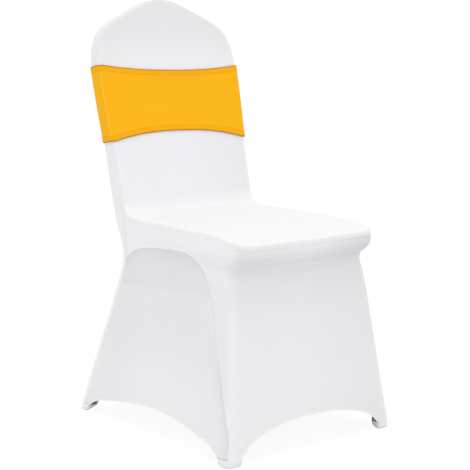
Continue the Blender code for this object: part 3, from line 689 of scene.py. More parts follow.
def rimRelief(points, normals):
    facing = np.clip(-normals[:, 1], 0.0, 1.0)
    x, z = points[:, 0], points[:, 2]
    across = np.clip(1 - (x / rim["middleReach"]) ** 2, 0.0, 1.0) ** 1.5
    relief = rim["middleOut"] * across * np.exp(-((z - rim["middleHeight"]) / rim["middleSpread"]) ** 2)
    line = rim["lineHeight"] - rim["lineFall"] * x
    relief -= rim["lineDepth"] * np.exp(-((z - line) / rim["lineSpread"]) ** 2)
    away = np.hypot((x - rim["cornerAt"][0]) / 2.2, z - rim["cornerAt"][1])
    relief -= rim["cornerFold"] * np.exp(-(away / rim["cornerSpread"]) ** 2)
    relief *= facing
    start, end = np.array(rim["lapFrom"]), np.array(rim["lapTo"])
    fold = np.linspace(start, end, 20)
    fade = np.sin(math.pi * np.clip((points[:, 1] - start[1]) / (end[1] - start[1]), 0.0, 1.0))
    return relief + rim["lapFold"] * fade * np.exp(-(distanceTo([fold], points) / rim["lapSpread"]) ** 2)


# ---------- seat and inside back, one panel rolled over the edge all the way round

def roundedEdge(row):
    seam, outward, up = row
    radius = chair["edgeRadius"]
    shape = chair["backEdgeShape"] + (chair["seatEdgeShape"] - chair["backEdgeShape"]) * up[2]
    points = []
    for turn in np.linspace(0.0, math.pi / 2, steps["edge"] + 1):
        high, wide = abs(math.cos(turn)) ** shape, math.sin(turn) ** shape
        points.append(seam + up * (chair["edgeLip"] + radius * high) - outward * radius * (1 - wide))
    return points + [seam + up * seams["gap"] / 2]


def puff(x, s, halfWidth):
    across = max(1.0 - (x / halfWidth) ** 2, 0.0) ** 1.5
    seat = math.sin(math.pi * min(s / lapEnd, 1.0)) ** 1.5 * chair["seatPuff"]
    backLength = pathAtHeight(backLine["z"][-1] - chair["edgeRadius"]) - lapEnd
    rise = min(max((s - lapEnd) / backLength, 0.0), 1.0)
    return across * (seat + math.sin(math.pi * rise) * chair["backPuff"])


def topPanelGrids():
    rows = frontRows + seatRows + backRows + crownRows
    edge = np.array([roundedEdge(row) for row in rows])
    corner = steps["crown"]
    shoulder = len(rows) - 1 - steps["crown"]
    flat = np.array([(point[0], pathDistance(point)) for point in edge[:, 0]])
    bottom = flat[:corner + 1]
    right = flat[corner:shoulder + 1]
    top = flat[shoulder:][::-1]
    up = np.linspace(0.0, 1.0, len(right))
    lift = np.clip((right[:, 1] - lapEnd) / (right[-1, 1] - lapEnd), 0.0, 1.0) ** 2
    left = np.zeros((len(right), 2))
    left[:, 1] = right[:, 1] + (bottom[0, 1] - right[0, 1]) * (1 - up) ** 4
    left[:, 1] += (top[0, 1] - right[-1, 1]) * lift
    patch = patchInside(bottom, top, left, right, up, 5)
    patch = relaxed(patch, rising(pathAtHeight(0.60), pathAtHeight(0.72), patch[..., 1]))
    points = np.zeros((*patch.shape[:2], 3))
    for i in range(patch.shape[0]):
        for j in range(patch.shape[1]):
            x, s = patch[i, j]
            rise = puff(x, s, patch[-1, j, 0]) if 0 < j < patch.shape[1] - 1 else 0.0
            points[i, j] = topPoint(x, s, -rise)
    points[:corner + 1, 0] = edge[:corner + 1, 0]
    points[-1] = edge[corner:shoulder + 1, 0]
    points[:, -1] = edge[shoulder:, 0][::-1]
    return [(points, False), (edge, True)]


# ---------- skirt: front of the cover and the strips beside the seat

def skirtPanelGrids():
    leg = shiftedLine(legSeam, seams["gap"] / 2)
    arch = shiftedLine(archSeam, seams["gap"] / 2)
    arch[0] = leg[-1]
    tops = [row[0] - upward * seams["gap"] / 2 for row in frontRows + seatRows]
    tops[-1][1] -= seams["gap"] / 2
    frontCount = steps["front"] + steps["corner"] + steps["near"]
    around = crowdedEnds(steps["corner"] + steps["near"] - 5, 0.065, last=1)[1:]

    def columnsAt(y, z):
        return np.concatenate((flatColumns, 1.0 + (uAt(y, z) - 1.0) * around))

    hemLine = []
    for u in columnsAt(*leg[0]):
        reach = bodyPoint(u, leg[0][1])[0]
        hemLine.append(hemHeight(reach, hem["frontRise"], hem["frontReach"], hem["frontPower"]))
    fractions = hemRows(leg[-1][1] - hem["frontRise"], steps["leg"])
    seamHeights = leg[-1][1] + (leg[0][1] - leg[-1][1]) * fractions
    seamY = np.interp(seamHeights, leg[:, 1], leg[:, 0])
    lower = []
    for fraction, z, y in zip(fractions, seamHeights, seamY):
        columns = []
        for u, bottom in zip(columnsAt(y, z), hemLine):
            columns.append(bodyPoint(u, leg[-1][1] + (bottom - leg[-1][1]) * fraction))
        columns[-1] = onSide(y, z)
        lower.append(columns)
    lower = np.array(lower)

    springColumns = columnsAt(*leg[-1])
    upper = []
    for index, top in enumerate(tops):
        front = index <= frontCount
        endZ = leg[-1][1]
        if front:
            startU = uAt(top[1], top[2]) if index > steps["front"] else flatColumns[index]
        else:
            endY, endZ = arch[index - frontCount]
        # columns between the rounded corner and the arch turn from one way of spacing to the other
        past = index - steps["front"] - steps["corner"] / 2
        nearArch = min(max(past / (steps["corner"] / 2 + steps["near"]), 0.0), 1.0)
        column = []
        for fraction in crowdedEnds(steps["rim"], top[2] - endZ, first=1, last=1):
            z = top[2] + (endZ - top[2]) * fraction
            if front:
                u = startU + (springColumns[index] - startU) * fraction
                if nearArch:
                    y = top[1] + (lower[0, index, 1] - top[1]) * fraction
                    u += (uAt(y, z) - u) * nearArch
                column.append(bodyPoint(u, z))
            else:
                column.append(onSide(top[1] + (endY - top[1]) * fraction, z))
        column[0] = top
        upper.append(column)
    upper = np.array(upper)
    upper[:frontCount + 1, -1] = lower[0]
    return upper, lower


# ---------- arch-topped side panels between the legs

def gussetGrid():
    seam = np.concatenate((legSeam, archSeam[1:], rearSeam[1:]))
    top = shiftedLine(seam, -seams["gap"] / 2)
    top[0, 1] = seam[0, 1]
    top[-1, 1] = seam[-1, 1]
    start = hem["sideMiddle"] - hem["sideReach"]
    hemY = np.linspace(start, hem["sideMiddle"] + hem["sideReach"], len(top))
    hemZ = [hemHeight(y - hem["sideMiddle"], hem["sideRise"], hem["sideReach"], hem["sidePower"])
            for y in hemY]
    bottom = np.stack((hemY, hemZ), axis=1)
    bottom[0, 1] = top[0, 1]
    bottom[-1, 1] = top[-1, 1]
    rows = hemRows(0.345, steps["gusset"])[::-1]
    up = 1.0 - rows
    close = np.array((0.0044, 0.0031, 0.0021, 0.0013, 0.0006)) / 0.25
    up = np.concatenate((up[:-1][up[:-1] < 1 - 1.4 * close[0]], 1 - close, [1.0]))
    left = bottom[0] + (top[0] - bottom[0]) * up[:, None]
    right = bottom[-1] + (top[-1] - bottom[-1]) * up[:, None]
    patch = patchInside(bottom, top, left, right, up, 1)
    return np.array([[onSide(y, z) for y, z in column] for column in patch])


# ---------- outside back, the sides of the backrest and the rear of the skirt

def sideSteps(start, seam):
    run = seam - start
    points = []
    for f in crowdedEnds(steps["side"], np.linalg.norm(run), last=1)[1:-1]:
        point = start + run * f
        if seam[2] < sash["top"]:
            point = onSide(point[1], point[2])
        points.append(point)
    return points + [seam]


def backPanelGrids():
    shift = seams["gap"] / 2
    length = rearSeam[0, 1] - rearSeam[-1, 1]
    rows = hemRows(length, steps["leg"])[::-1]
    down = shiftedLine(rearSeam, shift)[::-1]
    down[0, 1] = sideSeam["z"][0]
    heights = down[0, 1] + length * (1.0 - rows)
    lineY = np.interp(heights, down[:, 1], down[:, 0])
    seam = [onSide(y, z) for y, z in zip(lineY, heights)]
    end = rearSeam[0]
    for f in np.linspace(0, 1, steps["junction"] + 1)[1:]:
        y, z = end + (junctionTop[1:] - end) * f
        seam.append(onSide(y + shift, z))
    seam += [point - up * shift for point, _, up in backRows]
    sideCount = len(seam)

    strip = []
    quarter = np.linspace(0.0, 1.0, steps["edge"] + 1)
    for point in seam:
        turns = [bodyPoint(4.0 - f, point[2]) for f in quarter]
        strip.append(turns + sideSteps(turns[-1], point))
    radius = backLine["radius"][-1]
    for (point, _, up), ((x, z), outward) in zip(crownRows, crownSamples):
        insetX = x - outward[0] * radius
        insetZ = z - crownFall - outward[1] * radius
        rear = outsideAt["rear"](insetZ)
        turns = []
        for turn in quarter * math.pi / 2:
            reach = radius * math.sin(turn)
            turns.append(np.array((insetX + outward[0] * reach, rear - radius * (1 - math.cos(turn)),
                                   insetZ + outward[1] * reach)))
        strip.append(turns + sideSteps(turns[-1], point - up * shift))
    strip = np.array(strip)
    strip[-1, :, 0] = 0.0

    right = strip[:sideCount + 1, 0][:, [0, 2]]
    top = strip[sideCount:, 0][::-1][:, [0, 2]]
    hemX = np.linspace(0.0, right[0, 0], steps["crown"] + 1)
    bottom = np.array([(x, hemHeight(x, hem["backRise"], hem["backReach"], hem["frontPower"]))
                       for x in hemX])
    bottom[-1] = right[0]
    up = (right[:, 1] - right[0, 1]) / (right[-1, 1] - right[0, 1])
    lift = np.clip((right[:, 1] - chair["seatTop"]) / (right[-1, 1] - chair["seatTop"]), 0.0, 1.0) ** 2
    left = np.zeros((len(right), 2))
    left[:, 1] = right[:, 1] + (bottom[0, 1] - right[0, 1]) * (1 - up) ** 3
    left[:, 1] += (top[0, 1] - right[-1, 1]) * lift
    patch = patchInside(bottom, top, left, right, up, 5)
    patch = relaxed(patch, rising(0.60, 0.72, patch[..., 1]))
    points = np.zeros((*patch.shape[:2], 3))
    for i, a in enumerate(np.linspace(0.0, 1.0, steps["crown"] + 1)):
        for j in range(len(up)):
            x, z = patch[i, j]
            sag = outsideAt["sag"](z) * math.sin(math.pi * (1 - a) / 2) ** 2
            points[i, j] = (x, outsideAt["rear"](z) - sag, z)
    points[-1] = strip[:sideCount + 1, 0]
    points[:, -1] = strip[sideCount:, 0][::-1]
    return points, strip


# ---------- sash

sash = {
    "top": 0.7980,            # at the front corners of the backrest
    "bottom": 0.6287,
    "tilt": 0.0080,           # it lies this much lower behind
    "tiltAt": (0.0, 0.2, 0.7, 1.0),
    "askew": 0.0200,          # metres lower for each metre to the right
    "topDip": 0.0110,         # each edge is drawn in at its middle
    "bottomRise": 0.0200,
    "waistPower": 2.4,
    "clear": 0.0016,          # over the rolls of the seams beneath it
    "cloth": 0.0012,
}


def sashPoint(u, v, reach, side=0.0):
    # u: 0 middle of the front to 5 middle behind; v: lower edge to upper edge
    toCorner = u if u < 1.0 else 5.0 - u if u > 4.0 else 1.0
    waist = 1.0 - toCorner ** sash["waistPower"]
    low = sash["bottom"] + sash["bottomRise"] * waist
    z = low + (sash["top"] - sash["topDip"] * waist - low) * v
    z -= sash["tilt"] * np.interp(u, (1.0, 2.0, 3.0, 4.0), sash["tiltAt"])
    z -= sash["askew"] * side * 0.19 * min(toCorner, 1.0)
    x, rear, radius, _ = rearCorner(z)
    front = topPoint(0.0, pathAtHeight(z))[1]
    round_ = chair["edgeRadius"]
    half = x - round_
    if u <= 1.0:
        return np.array((u * half, front - puff(u * half, pathAtHeight(z), half) - reach, z))
    if u <= 2.0:
        turn = (u - 1.0) * math.pi / 2
        size = round_ + reach
        wide = abs(math.sin(turn)) ** chair["backEdgeShape"]
        deep = abs(math.cos(turn)) ** chair["backEdgeShape"]
        return np.array((half + size * wide, front + round_ - size * deep, z))
    if u <= 3.0:
        start = front + round_
        return np.array((x + reach, start + (rear - radius - start) * (u - 2.0), z))
    if u <= 4.0:
        turn = (u - 3.0) * math.pi / 2
        size = radius + reach
        return np.array((x - radius + size * math.cos(turn), rear - radius + size * math.sin(turn), z))
    sag = outsideAt["sag"](z) * math.sin(math.pi * (u - 4.0) / 2) ** 2
    return np.array(((x - radius) * (5.0 - u), rear - sag + reach, z))


def sashGrid(reach, sign):
    flat = np.linspace(0.0, 1.0, steps["sash"] * 2 + 1)
    corner = np.linspace(1.0, 2.0, steps["edge"] + 2)[1:]
    side = np.linspace(2.0, 3.0, steps["side"] + 1)[1:]
    columns = np.concatenate((flat, corner, side, corner + 2.0, flat[1:] + 4.0))
    half = 1.0 - hemRows(0.14, steps["sash"])[::-1]
    rise = np.concatenate((half[half < 0.5], 1.0 - half[half < 0.5][::-1]))
    return np.array([[sashPoint(u, v, reach, sign) for v in rise] for u in columns])


# ---------- materials

def linear(hexColour):
    # sRGB hex to linear light
    parts = [int(hexColour[i:i + 2], 16) / 255 for i in (1, 3, 5)]
    return tuple(c / 12.92 if c <= 0.04045 else ((c + 0.055) / 1.055) ** 2.4 for c in parts) + (1.0,)


def node(tree, kind, settings=None, links=None):
    # adds a node; links go from (node, output) to this node's input
    made = tree.nodes.new(kind)
    for name, value in (settings or {}).items():
        if name in made.inputs:
            made.inputs[name].default_value = value
        else:
            setattr(made, name, value)
    for name, (source, output) in (links or {}).items():
        tree.links.new(source.outputs[output], made.inputs[name])
    return made


def newMaterial(name):
    material = bpy.data.materials.new(name)
    material.use_nodes = True
    tree = material.node_tree
    tree.nodes.clear()
    return material, tree


def blended(tree, under, colour, amount, output):
    # one colour laid over another by a changing amount
    mix = node(tree, "ShaderNodeMix", {"data_type": "RGBA"})
    tree.links.new(amount.outputs[output], mix.inputs["Factor"])
    tree.links.new(under.outputs[2], mix.inputs[6])
    mix.inputs[7].default_value = linear(colour)
    return mix


def nearMark(tree, mark, at, spread, share):
    # 'share' at one distance from a hem or seam, falling to nothing 'spread' away on either side
    distance = node(tree, "ShaderNodeAttribute", {"attribute_name": mark})
    offset = node(tree, "ShaderNodeMath", {"operation": "SUBTRACT"})
    tree.links.new(distance.outputs["Fac"], offset.inputs[0])
    offset.inputs[1].default_value = at
    away = node(tree, "ShaderNodeMath", {"operation": "ABSOLUTE"})
    tree.links.new(offset.outputs[0], away.inputs[0])
    return node(tree, "ShaderNodeMapRange", {
        "interpolation_type": "SMOOTHSTEP", "From Min": 0.0, "From Max": spread,
        "To Min": share, "To Max": 0.0,
    }, {"Value": (away, 0)})


def knitMaterial(name, look):
    material, tree = newMaterial(name)
    place = node(tree, "ShaderNodeTexCoord")
    cloud = node(tree, "ShaderNodeTexNoise", {"Scale": look["patch"], "Detail": 3.0},
                 {"Vector": (place, "Object")})
    colour = node(tree, "ShaderNodeMix", {"data_type": "RGBA"}, {"Factor": (cloud, "Fac")})
    colour.inputs[6].default_value = linear(look["colour"])
    colour.inputs[7].default_value = linear(look["worn"])

    # yarns pulled straight: long faint streaks along the stretch
    pulled = node(tree, "ShaderNodeMapping", {"Scale": look["streaks"]}, {"Vector": (place, "UV")})
    streak = node(tree, "ShaderNodeTexNoise", {"Scale": 1.0, "Detail": 2.0}, {"Vector": (pulled, "Vector")})
    streakShare = node(tree, "ShaderNodeMapRange", {"From Min": 0.45, "From Max": 0.75, "To Min": 0.0,
                       "To Max": look["streakShare"]}, {"Value": (streak, "Fac")})
    colour = blended(tree, colour, look["streakColour"], streakShare, "Result")

    for mark, at, spread, tint, share in look["marks"]:
        colour = blended(tree, colour, tint, nearMark(tree, mark, at, spread, share), "Result")
    # painted shade: a grey laid over the white cloth by the painted shade attribute
    if "shadeColour" in look:
        paintedShade = node(tree, "ShaderNodeAttribute", {"attribute_name": "paintedShade"})
        colour = blended(tree, colour, look["shadeColour"], paintedShade, "Fac")

    # wales along the cloth and courses across it, each row of loops a rounded rib
    ribs = []
    for direction in ("X", "Y"):
        scaled = node(tree, "ShaderNodeMapping", {"Scale": (0.5 / look["loop"],) * 3},
                      {"Vector": (place, "UV")})
        ribs.append(node(tree, "ShaderNodeTexWave", {"bands_direction": direction, "Scale": 1 / math.pi,
                    "Distortion": 0.6, "Detail": 1.0}, {"Vector": (scaled, "Vector")}))
    loops = node(tree, "ShaderNodeMath", {"operation": "MULTIPLY"})
    tree.links.new(ribs[0].outputs["Fac"], loops.inputs[0])
    tree.links.new(ribs[1].outputs["Fac"], loops.inputs[1])
    bump = node(tree, "ShaderNodeBump", {"Strength": look["bump"], "Distance": look["loop"] * 0.2},
                {"Height": (loops, "Value")})
    surface = node(tree, "ShaderNodeBsdfPrincipled", {
        "Roughness": look["roughness"], "Sheen Weight": look["sheen"], "Sheen Roughness": 0.4,
        "Sheen Tint": linear(look["worn"]), "Specular IOR Level": look["specular"],
    }, {"Base Color": (colour, 2), "Normal": (bump, "Normal")})
    node(tree, "ShaderNodeOutputMaterial", {}, {"Surface": (surface, "BSDF")})
    return material


# Polyester and elastane warp knit, brushed by stretching: matt white, hardly any gloss, a soft bloom at
# grazing angles. Its loops are about 0.5 mm; here they are 1.5 mm, as finer ones would not show.
coverLook = {
    "colour": "#F4F4F6", "worn": "#F2F2F4", "patch": 9.0, "loop": 0.0015, "bump": 0.10,
    "streaks": (60.0, 5.0, 1.0), "streakColour": "#EDEDF0", "streakShare": 0.12,
    # the last colour on the next line is the grey mixed in as painted shade
    "roughness": 0.65, "sheen": 0.12, "specular": 0.25, "shadeColour": "#C9C9CC",
    # mark, distance, spread, tint, share: the layers at a hem show whiter; a seam's whiter line is partly
    # its layers and partly a painted highlight on its raised roll; the greyer sewn line is painted shade in
    # its dip
    "marks": (
        ("seam", 0.0, 0.0026, "#FDFDFE", 0.80),
        ("hem", hemCloth["stitchAt"], 0.0014, "#D2D2D5", 0.16),
        ("hem", 0.0, 0.0050, "#FDFDFE", 0.80),
    ),
}
coverCloth = knitMaterial("white-elastane-tricot-knit", coverLook)

# The same knit on the seat and the backrest, where the seam allowance inside the edge shows as one
# more white line.
topLook = dict(coverLook, marks=coverLook["marks"] + (("seam", 0.0125, 0.0024, "#FFFFFF", 0.45),))
topCloth = knitMaterial("white-elastane-tricot-knit-over-seam-allowance", topLook)

# The same knit dyed golden yellow and calendered: deep even colour and a slight satin gloss. The folded
# edges and the sewn line carry painted shade, where the cloth turns round and is drawn in at the stitching.
sashLook = {
    "colour": "#FEBC08", "worn": "#FBB406", "patch": 7.0, "loop": 0.0015, "bump": 0.10,
    "streaks": (4.0, 260.0, 1.0), "streakColour": "#F2A800", "streakShare": 0.35,
    "roughness": 0.55, "sheen": 0.05, "specular": 0.12,
    "marks": (
        ("hem", 0.0060, 0.0080, "#F7A200", 0.45),
        ("hem", hemCloth["stitchAt"], 0.0014, "#D88C00", 0.35),
        ("hem", 0.0, 0.0030, "#A86400", 0.90),
        # painted highlight along the folded corner over the backrest's edge
        ("fold", 0.0, 0.0026, "#FFD23A", 0.50),
    ),
}
sashCloth = knitMaterial("golden-yellow-calendered-tricot-knit", sashLook)

# Two plies of the same knit with a felted underside: white as the cover on its wall, with painted shade
# where it faces down.
soleLook = {
    "colour": "#F2F2F4", "worn": "#ECECEE", "patch": 60.0, "loop": 0.0015, "bump": 0.15,
    "streaks": (90.0, 90.0, 1.0), "streakColour": "#E6E6E8", "streakShare": 0.2,
    # the last colour on the next line is the grey mixed in as painted shade
    "roughness": 0.8, "sheen": 0.1, "specular": 0.2, "shadeColour": "#77777B",
    "marks": (("hem", 0.0, 0.0025, "#FDFDFE", 0.7),),
}
soleCloth = knitMaterial("white-double-knit-felted-sole", soleLook)


def threadMaterial(name, look):
    # spun sewing thread: matt, its two plies twisted round each other
    material, tree = newMaterial(name)
    place = node(tree, "ShaderNodeTexCoord")
    twist = node(tree, "ShaderNodeTexWave", {"bands_direction": "DIAGONAL", "Scale": 1 / look["ply"]},
                 {"Vector": (place, "Object")})
    colour = node(tree, "ShaderNodeMix", {"data_type": "RGBA"}, {"Factor": (twist, "Fac")})
    colour.inputs[6].default_value = linear(look["colour"])
    colour.inputs[7].default_value = linear(look["shade"])
    surface = node(tree, "ShaderNodeBsdfPrincipled", {"Roughness": 0.7, "Specular IOR Level": 0.2},
                   {"Base Color": (colour, 2)})
    node(tree, "ShaderNodeOutputMaterial", {}, {"Surface": (surface, "BSDF")})
    return material


# Core-spun polyester thread of about 0.4 mm, dyed to the cloth it sews: a faint dotted line at the hems.
whiteThread = threadMaterial("white-spun-polyester-thread",
                             {"colour": "#E8E8EA", "shade": "#D4D4D7", "ply": 0.0012})
goldThread = threadMaterial("golden-spun-polyester-thread",
                            {"colour": "#E09A04", "shade": "#C98300", "ply": 0.0012})


# ---------- hem stitching: one thread segment after another along a path

def stitchTree(material):
    tree = bpy.data.node_groups.new("row of stitches", "GeometryNodeTree")
    sockets = (("Path", "NodeSocketGeometry", None), ("Spacing", "NodeSocketFloat", 0.0032),
               ("Length", "NodeSocketFloat", 0.0025), ("Thread", "NodeSocketFloat", 0.0003))
    for name, kind, value in sockets:
        socket = tree.interface.new_socket(name, in_out="INPUT", socket_type=kind)
        if value:
            socket.default_value = value
    tree.interface.new_socket("Stitches", in_out="OUTPUT", socket_type="NodeSocketGeometry")
    given = node(tree, "NodeGroupInput")
    curve = node(tree, "GeometryNodeMeshToCurve", {}, {"Mesh": (given, "Path")})
    evened = node(tree, "GeometryNodeResampleCurve", {"mode": "LENGTH"},
                  {"Curve": (curve, "Curve"), "Length": (given, "Spacing")})
    tangent = node(tree, "GeometryNodeInputTangent")
    along = node(tree, "FunctionNodeAlignRotationToVector", {"axis": "Z"}, {"Vector": (tangent, "Tangent")})
    bead = node(tree, "GeometryNodeMeshUVSphere", {"Segments": 6, "Rings": 4, "Radius": 0.5})
    uneven = node(tree, "FunctionNodeRandomValue", {"data_type": "FLOAT", "Seed": 11})
    uneven.inputs[2].default_value, uneven.inputs[3].default_value = 0.88, 1.0
    longer = node(tree, "ShaderNodeMath", {"operation": "MULTIPLY"})
    tree.links.new(given.outputs["Length"], longer.inputs[0])
    tree.links.new(uneven.outputs[1], longer.inputs[1])
    size = node(tree, "ShaderNodeCombineXYZ", {},
                {"X": (given, "Thread"), "Y": (given, "Thread"), "Z": (longer, "Value")})
    placed = node(tree, "GeometryNodeInstanceOnPoints", {}, {
        "Points": (evened, "Curve"), "Instance": (bead, "Mesh"),
        "Rotation": (along, "Rotation"), "Scale": (size, "Vector"),
    })
    real = node(tree, "GeometryNodeRealizeInstances", {}, {"Geometry": (placed, "Instances")})
    finished = node(tree, "GeometryNodeSetMaterial", {"Material": material},
                    {"Geometry": (real, "Geometry")})
    node(tree, "NodeGroupOutput", {}, {"Stitches": (finished, "Geometry")})
    return tree


def stitchPath(points, hemLines):
    # the line on a panel that lies one stitch margin from the hem in its last column
    near = points[:, ::-1][:, :20]
    distance = distanceTo(hemLines, near.reshape(-1, 3)).reshape(near.shape[:2])
    margin = hemCloth["stitchAt"]
    return np.array([[np.interp(margin, distance[i], near[i, :, axis]) for axis in range(3)]
                     for i in range(len(near))])


def stitchPiece(name, paths, material):
    flat = bpy.data.meshes.new(name)
    verts, edges = [], []
    for path in paths:
        start = len(verts)
        verts += [tuple(point - np.array((0.0, chair["boxMiddle"], 0.0))) for point in path]
        edges += [(start + i, start + i + 1) for i in range(len(path) - 1)]
    flat.from_pydata(verts, edges, [])
    piece = bpy.data.objects.new(name, flat)
    bpy.context.scene.collection.objects.link(piece)
    rows = piece.modifiers.new("stitches", "NODES")
    rows.node_group = stitchTree(material)
    sockets = rows.node_group.interface.items_tree
    inputs = {item.name: item.identifier for item in sockets if item.in_out == "INPUT"}
    for label in ("Spacing", "Length", "Thread"):
        rows[inputs[label]] = stitching[label.lower()]
    bpy.context.view_layer.update()
    solid = bpy.data.meshes.new_from_object(piece.evaluated_get(bpy.context.evaluated_depsgraph_get()))
    piece.modifiers.remove(rows)
    piece.data = solid
    solid.name = name
    solid.shade_smooth()
    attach(piece, "root")
    print(name, len(solid.polygons))


stitching = {"spacing": 0.0036, "length": 0.0028, "thread": 0.00042}


# ---------- painted shade on the white cloth, as shares of the grey its material mixes in

paintedShade = {
    # painted shade under the seat's rim and beside the arch seam, and a band at the top of the side panels
    # that is partly the seat's frame showing through and partly painted shade
    "rim": 0.19, "rimFrom": (0.270, 0.380),
    "frame": 0.12, "frameShadeEdge": (0.3212, -0.0683),
    "archFoldShade": 0.13, "archReach": 0.012,
    # painted shade over each part of the cover
    "seat": 0.13, "back": 0.12, "skirt": 0.06, "leg": 0.17, "gusset": 0.07, "gussetHigh": 0.13,
    # soft shading, which nothing behind the cloth accounts for
    "crown": 0.20, "crownEdge": 0.10, "crownReach": 0.030, "farSide": 0.12,
    "gussetRear": 0.08, "legShade": 0.45, "legReach": 0.013,
}


# painted shade on the seat and inside back: an even share, darker at the top of the back, towards the far
# side and along the crown's edge
def topPaintedShade(points, normals):
    x, _, z = points.T
    lean = rising(0.47, 0.52, z)
    amount = paintedShade["seat"] * (1 - lean) + paintedShade["back"] * lean + paintedShade["crown"] * rising(0.79, 0.90, z)
    amount += paintedShade["farSide"] * np.clip(x / 0.18, 0.0, 1.0) * lean * (1 - rising(0.60, 0.80, z))
    inside = distanceTo(bothSides(edgeLine), points)
    return amount + paintedShade["crownEdge"] * np.exp(-inside / paintedShade["crownReach"]) * rising(0.78, 0.84, z)


# painted shade on the skirt: under the seat's rim, higher up, towards the far side, and on the faces that
# turn round the front legs
def skirtPaintedShade(points, normals):
    x, _, z = points.T
    front = rising(0.3, 0.8, -normals[:, 1])
    across = np.clip((x / 0.17) ** 2, 0.0, 1.0)
    middle = 1 - 0.6 * rising(0.405, 0.430, z) * (1 - across)
    amount = paintedShade["rim"] * rising(*paintedShade["rimFrom"], z) * (0.6 + 0.4 * across) * middle
    amount += paintedShade["skirt"] * rising(0.10, 0.30, z)
    amount += paintedShade["farSide"] * np.clip(x / 0.17, 0.0, 1.0) * (1 + rising(0.37, 0.42, z))
    leg = paintedShade["leg"] * (1 - rising(0.36, 0.40, z)) * rising(0.02, 0.15, z)
    return amount * front + leg * (1 - front)


# painted shade on the side panels: more higher up, in a band at the top, towards the rear, beside the front
# leg's seam and beside the arch seam
def gussetPaintedShade(points, normals):
    _, y, z = points.T
    edge = paintedShade["frameShadeEdge"][0] + paintedShade["frameShadeEdge"][1] * y
    fromLeg = distanceTo(bothSides(legLine), points)
    amount = paintedShade["gusset"] + paintedShade["gussetHigh"] * rising(0.10, 0.25, z)
    amount += paintedShade["frame"] * rising(-0.004, 0.009, z - edge)
    amount += paintedShade["gussetRear"] * rising(0.06, 0.20, y)
    amount += paintedShade["legShade"] * np.exp(-fromLeg / paintedShade["legReach"]) * (1 - rising(0.12, 0.26, z))
    fromArch = distanceTo(bothSides(archLine), points)
    return amount + paintedShade["archFoldShade"] * np.exp(-fromArch / paintedShade["archReach"])


# painted shade on the outside back, darker higher up
def rearPaintedShade(points, normals):
    _, _, z = points.T
    return paintedShade["skirt"] * rising(0.10, 0.30, z) + paintedShade["crown"] * rising(0.65, 0.90, z)


# ---------- the pieces

cloth = {"cover": 0.0007, "sash": 0.0005, "sole": 0.0014}


def addPiece(name, grids, material, thickness, marks):
    piece = clothObject(name, grids, material, thickness, marks)
    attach(piece, "root")
    print(name, len(piece.data.polygons))
    return piece


skirtUpper, skirtLower = skirtPanelGrids()
skirtHem = skirtLower[-1]
topGrids = topPanelGrids()
topGrids += mirroredHalf(topGrids)
topGrids = pushedOut(topGrids, lambda p, n: reliefOf(p, edge=True))
topPiece = addPiece("seat_and_inside_back", topGrids, topCloth, cloth["cover"],
                    {"seam": bothSides(edgeLine), "hem": bothSides(skirtHem), "paintedShade": topPaintedShade})
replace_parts(topPiece, "top_panel")

skirtGrids = [(skirtUpper, True), (skirtLower.swapaxes(0, 1), True)]
skirtGrids += mirroredHalf(skirtGrids)
skirtGrids = pushedOut(skirtGrids, lambda p, n: reliefOf(p, True, True, True, bothSides(skirtHem))
                       + rimRelief(p, n))
coverStitches = [stitchPath(points, bothSides(skirtHem)) for points, _ in skirtGrids[1::2]]
skirtGrids = [turnedHem(*grid) if index % 2 else grid for index, grid in enumerate(skirtGrids)]
skirtPiece = addPiece("skirt_front", skirtGrids, coverCloth, cloth["cover"],
                      {"seam": bothSides(edgeLine) + sideLines, "hem": bothSides(skirtHem),
                       "paintedShade": skirtPaintedShade})
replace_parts(skirtPiece, "skirt_panel")

gussetPoints = gussetGrid()
for side, sign in (("right", 1.0), ("left", -1.0)):
    grid = (gussetPoints[:, ::-1], True)
    if sign < 0:
        grid = mirroredHalf([grid])[0]
    hemLine = grid[0][:, -1]
    grids = pushedOut([grid], lambda p, n: reliefOf(p, side=True, hemLines=[hemLine]))
    coverStitches.append(stitchPath(grids[0][0], [hemLine]))
    piece = addPiece("side_gusset_" + side, [turnedHem(*grids[0])], coverCloth, cloth["cover"],
                     {"seam": sideLines, "hem": [hemLine], "paintedShade": gussetPaintedShade})
    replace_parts(piece, "gusset_" + side)

backPoints, backStrip = backPanelGrids()
backHem = np.concatenate((backPoints[:, 0], backStrip[0, 1:]))
backGrids = [(backPoints[:, ::-1], False), (backStrip.swapaxes(0, 1)[:, ::-1], False)]
backGrids += mirroredHalf(backGrids)
backGrids = pushedOut(backGrids, lambda p, n: reliefOf(p, True, True, True, bothSides(backHem)))
coverStitches += [stitchPath(points, bothSides(backHem)) for points, _ in backGrids]
backGrids = [turnedHem(*grid) for grid in backGrids]
backPiece = addPiece("outside_back", backGrids, coverCloth, cloth["cover"],
                     {"seam": bothSides(edgeLine) + sideLines, "hem": bothSides(backHem),
                      "paintedShade": rearPaintedShade})
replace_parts(backPiece, "back_panel")

sashRight = (sashGrid(sash["clear"] + sash["cloth"], 1.0), False)
sashLeft = mirroredHalf([(sashGrid(sash["clear"] + sash["cloth"], -1.0), False)])[0]
sashGrids = [sashRight, sashLeft]
sashLines = [points[:, end] for points, _ in sashGrids for end in (0, -1)]
cornerColumn = steps["sash"] * 2 + (steps["edge"] + 1) // 2
